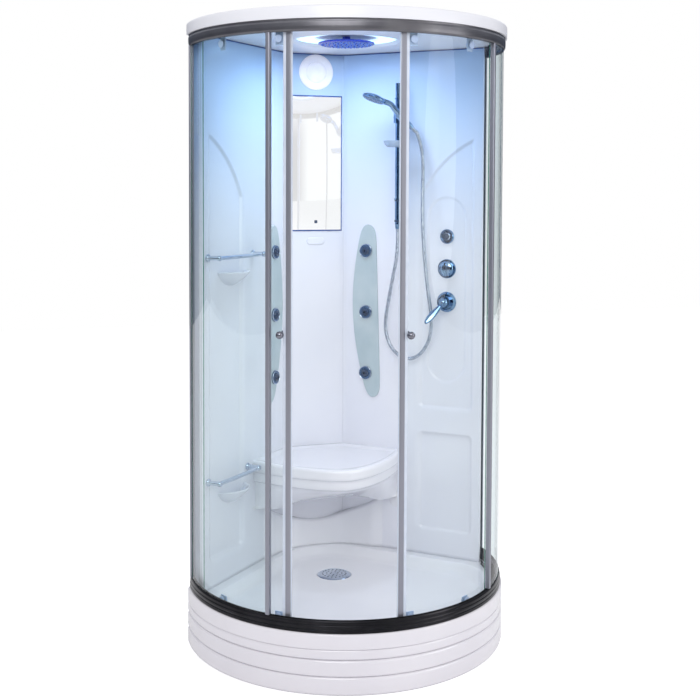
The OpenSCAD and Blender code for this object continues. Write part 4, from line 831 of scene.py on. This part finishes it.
# %% Hand shower
def slider_point(x, y, z):
    """Slider frame to world: u = 74 + x cos(aim) - y sin(aim), s = 55 - x sin(aim) - y cos(aim)."""
    x, y, z = (np.asarray(v, float) for v in (x, y, z))
    return wall_point(BAR_U + x * math.cos(AIM) - y * math.sin(AIM),
                      BAR_S - x * math.sin(AIM) - y * math.cos(AIM), HOLDER_Z + z)


def slider_way(x, y, z):
    """A direction of the slider's frame, in the world."""
    return slider_point(x, y, z) - slider_point(0, 0, 0)


HEAD_RISE = math.radians(20)
grip_foot, grip_way = np.array([0, GRIP_OFF, 0]), math.cos(RISE) * np.array([1, 0, 1])
head_lean = np.array([math.cos(HEAD_RISE), 0, math.sin(HEAD_RISE)])
neck = grip_foot + 0.065 * grip_way
head = neck + 0.062 * head_lean
grip_line = [grip_foot + along * grip_way for along in (-0.042, -0.028, -0.010, 0.015, 0.040)]
grip_line += [neck + [-0.004, 0, -0.002], neck + 0.022 * head_lean, neck + 0.040 * head_lean, head]
part = np.linspace(0, 1, 120)
grip_r = (0.0100 + 0.0018 * np.sin(np.clip(part * 1.6, 0, 1) * math.pi) ** 2
          + 0.0010 * smooth_step((part - 0.6) / 0.3))
grip = tube(slider_point(*spline(grip_line, 120).T), grip_r, 28, upright=slider_way(0, 1, 0))
skin("hand_shower_handle", grip, blue_chrome, body="handset", replaces=("hand_shower",), smooth=60)
head_way = slider_way(-math.sin(HEAD_RISE), 0, math.cos(HEAD_RISE))
head_at = slider_point(*head)
crown = mm((0, -8.5), (35, -8.5), (36.2, -9.5), (37.8, -11.9), (40.5, -11.2), (43.5, -8.5), (44.8, -5),
           (44.5, -2), (42.5, 1), (36, 5), (26, 8.8), (14, 11.5), (0, 12.5))
plate = mm((0, -10.8), (12, -10.8), (12.5, -10.2), (13.5, -10.2), (14, -11), (34, -11), (35.8, -9.8),
           (35.8, -8), (0, -8))
for name, line, mat in (("hand_shower_head", crown, blue_chrome), ("spray_face", plate, spray_grey)):
    skin(name, turned(line, head_at, head_way, 72), mat, ends="free", body="handset", smooth=35)

# %% [markdown]
# Nozzles are small six-sided cones in rings. All the cones of a face are one mesh.

# %% Nozzles
def studs(name, centre, axis, radii, counts, base, r, h, body, mat, turn):
    """On each ring of radii stand as many cones as counts says, of radius r and height h.

    They start base above the centre, and each ring is turned on a little from the one before."""
    axis = unit(np.asarray(axis, float))
    sx = unit(np.cross(axis, [0.3, 0.9, 0.2]))
    sy = np.cross(axis, sx)
    a = np.concatenate([np.arange(n) * 2 * math.pi / n + turn * i for i, n in enumerate(counts)])[:, None]
    mid = np.asarray(centre) + np.repeat(radii, counts)[:, None] * (np.cos(a) * sx + np.sin(a) * sy)
    mid = mid + base * axis
    k = (np.arange(6) * math.pi / 3)[:, None]
    ring = np.cos(k) * sx + np.sin(k) * sy
    low = mid[:, None] + r * ring[None]
    high = mid[:, None] + 0.6 * r * ring[None] + h * axis
    first = (np.arange(len(mid)) * 12)[:, None]
    j = np.arange(6)
    sides = np.stack([first + j, first + (j + 1) % 6, first + (j + 1) % 6 + 6, first + j + 6], axis=-1)
    faces = sides.reshape(-1, 4).tolist() + (first + j[::-1]).tolist() + (first + j + 6).tolist()
    return wear(add_mesh(name, np.concatenate([low, high], axis=1), faces, body=body, smooth=30), mat)


studs("spray_nozzles", head_at, -head_way, [0.006, 0.019, 0.025, 0.031], [5, 16, 22, 28], 0.0100, 0.0012,
      0.0022, "handset", nozzle_rubber, 0.3)
studs("overhead_nozzles", (0, 0, 2.095), (0, 0, -1), [0.0, 0.016, 0.031, 0.046, 0.061, 0.075, 0.088],
      [1, 6, 12, 18, 24, 30, 36], -0.0005, 0.0019, 0.0028, "cabin", blue_nozzle, 0.2)

# %% [markdown]
# Each jet has a chrome ring round its dark face and two rings of small water holes. The slide bar has two
# dark clips, and the right wall a flat round cover low down. A thin dark blue tube along the joint between
# the walls and the ceiling is painted shade, the shadow line of that joint.

# %% Jet rings, clips, cover and painted shade line
JET_U, JET_ZS = -0.081, (0.874, 1.111, 1.348)
jet_ring = mm((24, 10), (26.2, 10), (26.5, 10.8), (25.8, 11.7), (24.9, 11.9), (24, 11.3))
for way, word in ((-1.0, "left"), (1.0, "right")):
    for k, z in enumerate(JET_ZS, 1):
        at, out = wall_point(JET_U, 0.0, z, way), wall_way(0, 1, 0, way)
        skin(f"{word}_jet_ring_{k}", turned(jet_ring, at, out, 56), chrome, ends="loop")
        studs(f"{word}_jet_dots_{k}", at, out, [0.0185, 0.0218], [14, 18], 0.0108, 0.0010, 0.0010,
              "cabin", jet_dot, 0.2)
clip = mm((11.2, -4), (12.4, -4), (13, -3.4), (13, 3.4), (12.4, 4), (11.2, 4))
for k, z in enumerate((1.467, 1.545), 1):
    skin(f"bar_clip_{k}", turned(clip, wall_point(BAR_U, BAR_S, z), steps=40), smoke, ends="loop")
cover = mm((0, 1.2), (27.5, 1.2), (29, 0.9), (30, 0.1), (30, -0.5), (0, -0.5))
skin("flush_cover", turned(cover, wall_point(0.051, 0.0, 0.392), wall_way(0, 1, 0), 56), acrylic,
     ends="free", smooth=25)
# A thin dark tube along the wall tops: painted shade, the shadow line of the joint with the ceiling.
shade_line_r, shade_line_out, shade_line_z = 0.0016, 0.0018, CEIL_Z - 0.0025
half = wall_point(np.linspace(FACE_END, JOINT_U + 0.025, 12), shade_line_out, shade_line_z)
cross = [[x, CORNER_Y - shade_line_out, shade_line_z] for x in np.linspace(JOINT_X - 0.03, -JOINT_X + 0.03, 9)]
shade_line_path = np.concatenate([half, cross, half[::-1] * [-1, 1, 1]])
skin("ceiling_shade_line", tube(shade_line_path, shade_line_r, 8), shade_line_blue, smooth=60)

# %% [markdown]
# The mixer's lever is a ball with a flat blade: an oval carried along the arm, wide in the middle and
# rounded at its tip.

# %% Mixer lever
HUB_AT, BALL_R = wall_point(0.247, 0.020, 1.164), 0.019
TILT, SLOPE = math.radians(35), math.radians(28)
arm_way = wall_way(-math.cos(SLOPE) * math.sin(TILT), math.sin(SLOPE), -math.cos(SLOPE) * math.cos(TILT))
wide_way = wall_way(math.cos(TILT), 0, -math.sin(TILT))
thick_way = np.cross(arm_way, wide_way)
blade_line = mm((12, 7, 5.8), (20, 7.8, 5.4), (32, 9.6, 4.8), (46, 11.6, 4.3), (60, 12.8, 4), (74, 12.8, 3.7),
                (86, 11.6, 3.4), (95, 9.2, 3), (101, 6.2, 2.2), (104.5, 3.2, 1.3), (105.8, 0.4, 0.3))
along, half_w, half_t = spline(blade_line, 60).T[:, :, None, None]
a = circle(28)[None, :, None]
blade = HUB_AT + along * arm_way + half_w * np.cos(a) * wide_way + half_t * np.sin(a) * thick_way
skin("lever_blade", blade, blue_chrome, body="lever", replaces=("mixer_lever",), smooth=50)
a = np.linspace(-QUARTER, QUARTER, 25)
ball = BALL_R * np.stack([np.cos(a), np.sin(a)], axis=1)
skin("lever_ball", turned(ball, HUB_AT, arm_way, 40), blue_chrome, ends="free", body="lever", smooth=60)

# %% [markdown]
# The soap dish is a clear plastic bowl on a collar round the bar. Turned skins again: a bowl with a
# rolled rim and shallow rings in its floor, and the collar with rounded ends.

# %% Soap dish
DISH_Z = 1.766
bowl_line = mm((0, -24), (24.5, -24), (29, -23.2), (34.3, -19.5), (39.3, -13.5), (42.3, -6), (43.6, -1.5),
               (43.9, -0.3), (43.2, 0), (42, -0.4), (41.2, -2), (39.2, -7.5), (36, -14.2), (31.5, -18.8),
               (27, -20.7), (22, -20.5), (20.5, -19.8), (19, -20.5), (11, -20.5), (9.5, -19.8), (8, -20.5),
               (0, -20.6))
skin("soap_bowl", turned(bowl_line, wall_point(0.078, 0.092, DISH_Z), steps=72), clear_plastic, ends="free",
     replaces=("soap_dish",), smooth=35)
collar_line = mm((11.2, -24), (13.5, -24), (14.8, -22.8), (15, -21), (15, -1), (14.6, 1), (13.5, 2),
                 (11.2, 2))
skin("soap_collar", turned(collar_line, wall_point(BAR_U, BAR_S, DISH_Z), steps=40), chrome, ends="loop",
     smooth=35)

# %% [markdown]
# The glass front is held by extruded aluminium. An extrusion is one section carried along a path: along
# the front arc for the rails, and straight up for posts and door profiles. Real ones have no sharp
# corners, so each corner of a section is first rounded off.

# %% Extrusion helpers
def rounded_loop(points, r, n=4):
    """Each corner p becomes a curve (1-t)^2 a + 2t(1-t) p + t^2 b.

    The points a and b lie on its two sides, at most r from p."""
    p = np.asarray(points, float)
    prev, nxt = np.roll(p, 1, axis=0), np.roll(p, -1, axis=0)
    l1, l2 = np.linalg.norm(prev - p, axis=1), np.linalg.norm(nxt - p, axis=1)
    cut = np.minimum(r, 0.45 * np.minimum(l1, l2))[:, None]
    a, b = p + unit(prev - p) * cut, p + unit(nxt - p) * cut
    t = np.linspace(0, 1, n + 1)[None, :, None]
    return ((1 - t) ** 2 * a[:, None] + 2 * t * (1 - t) * p[:, None] + t ** 2 * b[:, None]).reshape(-1, 2)


def polar_loop(points, r_mm):
    """Rounds a loop of (radius in mm, degrees) evenly, by measuring its angles in metres along the arc."""
    p = np.asarray(points, float) * [0.001, 1]
    scale = np.radians(1) * p[:, 0].mean()
    return rounded_loop(p * [1, scale], r_mm / 1000) / [1, scale]


def upright_bar(loop, z0, z1, way=1.0, turn=0.0):
    """A plan loop of (radius, degrees) as a bar; way -1 mirrors it, and turn swings it to the left."""
    r, a = loop[:, 0], np.radians(way * loop[:, 1] - turn)
    z = np.array([z0, z0 + 0.0004, z1 - 0.0004, z1])[:, None]
    shrink = np.array([0.9992, 1, 1, 0.9992])[:, None]
    x, y = r * np.sin(a) * shrink, -r * np.cos(a) * shrink
    return np.stack([x, y, np.broadcast_to(z, x.shape)], axis=-1)


print("extrusion helpers ready")

# %% [markdown]
# The top rail is a channel with a web and a tread for the rollers behind it. The bottom rail is black,
# with ribs on its face, and has a sill behind it that guides the doors.

# %% Rails
ROLL_A = 84
RAILS = (
    ("top_rail_bar", "top_rail", rail_grey, FLANGE_A, 193, 0.0012, 3,
     mm((540, 2072), (546, 2072), (546, 2082), (552, 2082), (552, 2072), (554.8, 2072), (557.3, 2077.5),
        (558, 2086), (558, 2099), (556.5, 2103), (556.5, 2106), (557.8, 2109.8), (540, 2109.8))),
    ("top_rail_web", None, rail_grey, ROLL_A, 169, 0.0008, 2,
     mm((516, 2107), (541, 2107), (541, 2109.9), (516, 2109.9))),
    ("top_rail_tread", None, rail_grey, ROLL_A, 169, 0.0008, 2,
     mm((529, 2080), (541, 2080), (541, 2083), (529, 2083))),
    ("bottom_rail_bar", "bottom_rail", dark_rail, FLANGE_A, 193, 0.0010, 3,
     mm((540, 196.2), (557, 196.2), (558, 199), (558, 206), (556.8, 208.5), (556.8, 210.5), (557.8, 212.5),
        (557.8, 219), (556.6, 221.2), (556.2, 223.5), (555.6, 230), (553.5, 235), (552, 236), (552, 226),
        (546, 226), (546, 236), (541.5, 236), (540, 234.5))),
    ("bottom_rail_sill", None, dark_rail, ROLL_A, 169, 0.0007, 2,
     mm((516, 196.2), (541, 196.2), (541, 199), (521.2, 199), (521, 210.8), (519, 210.8), (518.8, 199),
        (516, 199))),
)
for name, gone, mat, reach, count, r, n, points in RAILS:
    skin(name, along_arc(rounded_loop(points, r, n), -reach, reach, count), mat,
         replaces=(gone,) if gone else (), smooth=30)

# %% [markdown]
# Posts and wall profiles hold the fixed panes. Each door has an edge profile, a gasket against the glass
# and a thin seal where the doors meet; they ride with the door.

# %% Posts and door profiles
RAIL_LOW, RAIL_TOP = 0.236, 2.072
DOOR_LOW, DOOR_TOP, LEFT_OPEN = 0.206, 2.076, 36.5
post = polar_loop([(541, 43.75), (555.5, 43.75), (557, 44.1), (557, 44.9), (555.5, 45.25), (551.9, 45.25),
                   (551.9, 44.3), (546.1, 44.3), (546.1, 45.25), (541, 45.25)], 1.2)
channel = polar_loop([(541, 93.27), (541, 91.68), (546.1, 91.68), (546.1, 92.8), (551.9, 92.8),
                      (551.9, 91.68), (555.5, 91.68), (557, 92.0), (557, 93.27)], 1.2)
for way, word in ((1.0, "right"), (-1.0, "left")):
    for name, loop, gone in (("post", post, "fixed_posts"), ("wall_profile", channel, "wall_profiles")):
        skin(f"{word}_{name}", upright_bar(loop, RAIL_LOW, RAIL_TOP, way), satin_alu,
             replaces=(gone,) if way > 0 else (), smooth=30)
leaf = polar_loop([(525.5, 0.42), (535, 0.40), (536.5, 0.70), (536.5, 2.0), (535.5, 2.23), (533.8, 2.23),
                   (533.8, 0.75), (528.2, 0.75), (528.2, 2.23), (525.5, 2.23)], 1.0)
gasket = polar_loop([(527.9, 2.25), (534.1, 2.25), (534.6, 2.7), (534, 3.35), (528, 3.35), (527.4, 2.7)], 0.8)
lip_seal = polar_loop([(528.5, 0.06), (533.5, 0.06), (534.5, 0.39), (527.5, 0.39)], 0.8)
LEAF_PARTS = (("edge", leaf, satin_alu), ("gasket", gasket, seal_pale), ("seal", lip_seal, seal_pale))
for way, word, turn in ((1.0, "right", 0.0), (-1.0, "left", LEFT_OPEN)):
    for name, loop, mat in LEAF_PARTS:
        bar = upright_bar(loop, DOOR_LOW, DOOR_TOP, way, turn)
        skin(f"{word}_door_{name}", bar, mat, body=word + "_door", smooth=30,
             replaces=(word + "_door_profile",) if name == "edge" else ())

# %% [markdown]
# The mirror is a thin plate with a bevelled front edge that shows as a dark blue line, and a small square
# switch sits on it near its lower end. Its silvered face glows a little white: painted reflection.

# %% Mirror
MIRROR_HALF, MIRROR_LOW, MIRROR_TOP, MIRROR_T, BEVEL = 0.106, 1.423, 1.945, 0.004, 0.005


def plate_rings(half, low, top, y_back, y_front):
    """Four corners per ring, from the back over the bevel to the silvered face."""
    steps = ((0, y_back), (0, y_front + 0.0022), (0.0006, y_front + 0.0016), (BEVEL, y_front))
    return np.array([[(g - half, y, low + g), (half - g, y, low + g), (half - g, y, top - g),
                      (g - half, y, top - g)] for g, y in steps])


plate_grid = plate_rings(MIRROR_HALF, MIRROR_LOW, MIRROR_TOP, CORNER_Y, CORNER_Y - MIRROR_T)
mirror_plate = skin("mirror_plate", plate_grid, mirror_painted_glow, mirror_edge, replaces=("wall_mirror",), smooth=20)
for face in mirror_plate.data.polygons:
    face.material_index = 0 if face.normal.y < -0.95 and face.area > 0.05 else 1
skin("mirror_switch", pad_grid(0.0, 1.459, 0.006, 0.006, 0.002, 0.0012) - [0, MIRROR_T, 0], smoke, smooth=50)

# %% [markdown]
# The other pieces keep their CAD shapes. Each gets the finish of what it is made of: chrome and plastic
# fittings inside, and steel, brass and plastic under the tray and behind the walls.

# %% Finishes of the CAD pieces
WORN = {
    chrome: ["drain_cover", "drain_flange", "push_button"],
    blue_chrome: ["slide_bar", "bar_slider", "handset_holder", "upper_hose_nut", "lower_hose_nut",
                  "control_plates", "mixer_cap", "diverter_knob"],
    knob_dark: ["left_knob", "right_knob"],
    jet_face: ["jet_bezels"],
    steel: ["tray_frame", "levelling_feet"],
    brass: ["mixer_body"],
    grey_pipe: ["water_pipes", "waste_trap"],
    jet_skin: ["left_jet_panel", "right_jet_panel"],
    smoke: [f"jet_nozzle_{k}" for k in range(1, 7)],
    nylon: ["left_wheel_1", "left_wheel_2", "right_wheel_1", "right_wheel_2"],
    hanger_grey: ["left_hangers", "right_hangers"],
    blue_face: ["overhead_shower"],
    cyan_light: ["roof_lamp"],
    lens_white: ["corner_lamp"],
}
for mat, names in WORN.items():
    for name in names:
        wear(name, mat)
print("finished CAD pieces:", sum(len(v) for v in WORN.values()))

# %% [markdown]
# The studio is a pale floor, a surround that the camera and the glass see as white, and soft lamps: a large
# one in front and above, a fill from the right, and one for the light in the roof. The floor gives the
# camera some light of its own, so it is white and only the shadow is grey.

# %% Floor
FLOOR_HALF, FLOOR_LIFT = 9, 0.45


def stage_plane():
    """A square floor far larger than the cabin."""
    mesh =bpy.data.meshes.new("floor")
    corners = [(x * FLOOR_HALF, y * FLOOR_HALF, 0) for x, y in ((-1, -1), (1, -1), (1, 1), (-1, 1))]
    mesh.from_pydata(corners, [], [(0, 1, 2, 3)])
    floor = bpy.data.objects.new("floor", mesh)
    bpy.context.scene.collection.objects.link(floor)
    mat, tree = new_tree("pale_floor")
    seen = node(tree, "LightPath").outputs["Is Camera Ray"]
    lift = node(tree, "Math", {0: seen, 1: FLOOR_LIFT}, operation="MULTIPLY")
    plug(tree, tree.nodes["Principled BSDF"], {
        "Base Color": (0.86, 0.86, 0.87, 1), "Roughness": 0.9, "Specular IOR Level": 0.0,
        "Emission Color": (1, 1, 1, 1), "Emission Strength": lift.outputs["Value"]})
    mesh.materials.append(mat)
    return floor


print("floor:", stage_plane().name)

# %% [markdown]
# The camera and the glass see a white surround. Polished metal mirrors dark sides, a bright top and a
# bright card to the right in front, which gives it the banded look of real chrome.

# %% World
world = bpy.data.worlds.new("studio")
bpy.context.scene.world = world
world.use_nodes = True
tree = world.node_tree
tree.nodes.clear()
rays = node(tree, "LightPath")
seen = node(tree, "Background", {"Color": (1, 1, 1, 1), "Strength": 1.0})
lit = node(tree, "Background", {"Color": (0.98, 0.98, 1.0, 1), "Strength": 0.85})
either = node(tree, "Math", {0: rays.outputs["Is Camera Ray"], 1: rays.outputs["Is Transmission Ray"]},
              operation="MAXIMUM")
plain = node(tree, "MixShader", {"Fac": either.outputs["Value"], 1: lit.outputs["Background"],
                                 2: seen.outputs["Background"]})
way = node(tree, "SeparateXYZ", {"Vector": node(tree, "TexCoord").outputs["Generated"]})
height = node(tree, "MapRange", {"Value": way.outputs["Z"], "From Min": -1.0})
bands = node(tree, "ValToRGB", {"Fac": height.outputs["Result"]})
FIRST_AND_LAST = ((0.5, 0.5, 0.55, 1), (1.0, 1.0, 1.0, 1))
BETWEEN = ((0.36, (0.35, 0.38, 0.45, 1)), (0.44, (0.02, 0.035, 0.07, 1)),
           (0.57, (0.03, 0.05, 0.10, 1)), (0.64, (0.75, 0.8, 0.9, 1)))
for stop, shade in zip(bands.color_ramp.elements, FIRST_AND_LAST):
    stop.color = shade
for at, shade in BETWEEN:
    bands.color_ramp.elements.new(at).color = shade
card = node(tree, "MapRange", {"Value": way.outputs["X"], "From Min": 0.08, "From Max": 0.2})
ahead = node(tree, "Math", {0: way.outputs["Y"], 1: -0.6}, operation="LESS_THAN")
white_card = node(tree, "Math", {0: card.outputs["Result"], 1: ahead.outputs["Value"]}, operation="MULTIPLY")
in_metal = node(tree, "Mix", {0: white_card.outputs["Value"], 6: bands.outputs["Color"], 7: (1, 1, 1, 1)},
                data_type="RGBA")
studio = node(tree, "Background", {"Color": in_metal.outputs[2]})
surround = node(tree, "MixShader", {"Fac": rays.outputs["Is Glossy Ray"], 1: plain.outputs["Shader"],
                                    2: studio.outputs["Background"]})
node(tree, "OutputWorld", {"Surface": surround.outputs["Shader"]})
print("world nodes:", len(tree.nodes))

# %% [markdown]
# The lamps are round and soft. The one in the roof lights the ceiling and walls without showing in them.

# %% Lamps
def lamp(name, place, aim, power, size, colour=(1, 1, 1)):
    """A round lamp of that size and power at place, facing aim."""
    data = bpy.data.lights.new(name, "AREA")
    data.energy, data.color, data.shape, data.size = power, colour, "DISK", size
    z = unit(np.asarray(place, float) - np.asarray(aim, float))
    x = unit(np.cross([0.02, 0.01, 1.0], z))
    return stand(bpy.data.objects.new(name, data), x, np.cross(z, x), z, place)


lamp("front_soft", (-1.6, -3.6, 3.4), (0, 0, 1.0), 60, 2.4)
lamp("right_fill", (3.2, -2.6, 1.8), (0, 0, 1.0), 25, 2.0)
roof_glow = lamp("roof_glow", (0, 0, 2.085), (0, 0, 0), 3.6, 0.30, (0.82, 0.90, 1.0))
roof_glow.visible_glossy = False
print("lamps:", len(bpy.data.lights))

# %% [markdown]
# The last cell sets the plain view transform.

# %% Colour management
bpy.context.scene.view_settings.view_transform = "Standard"
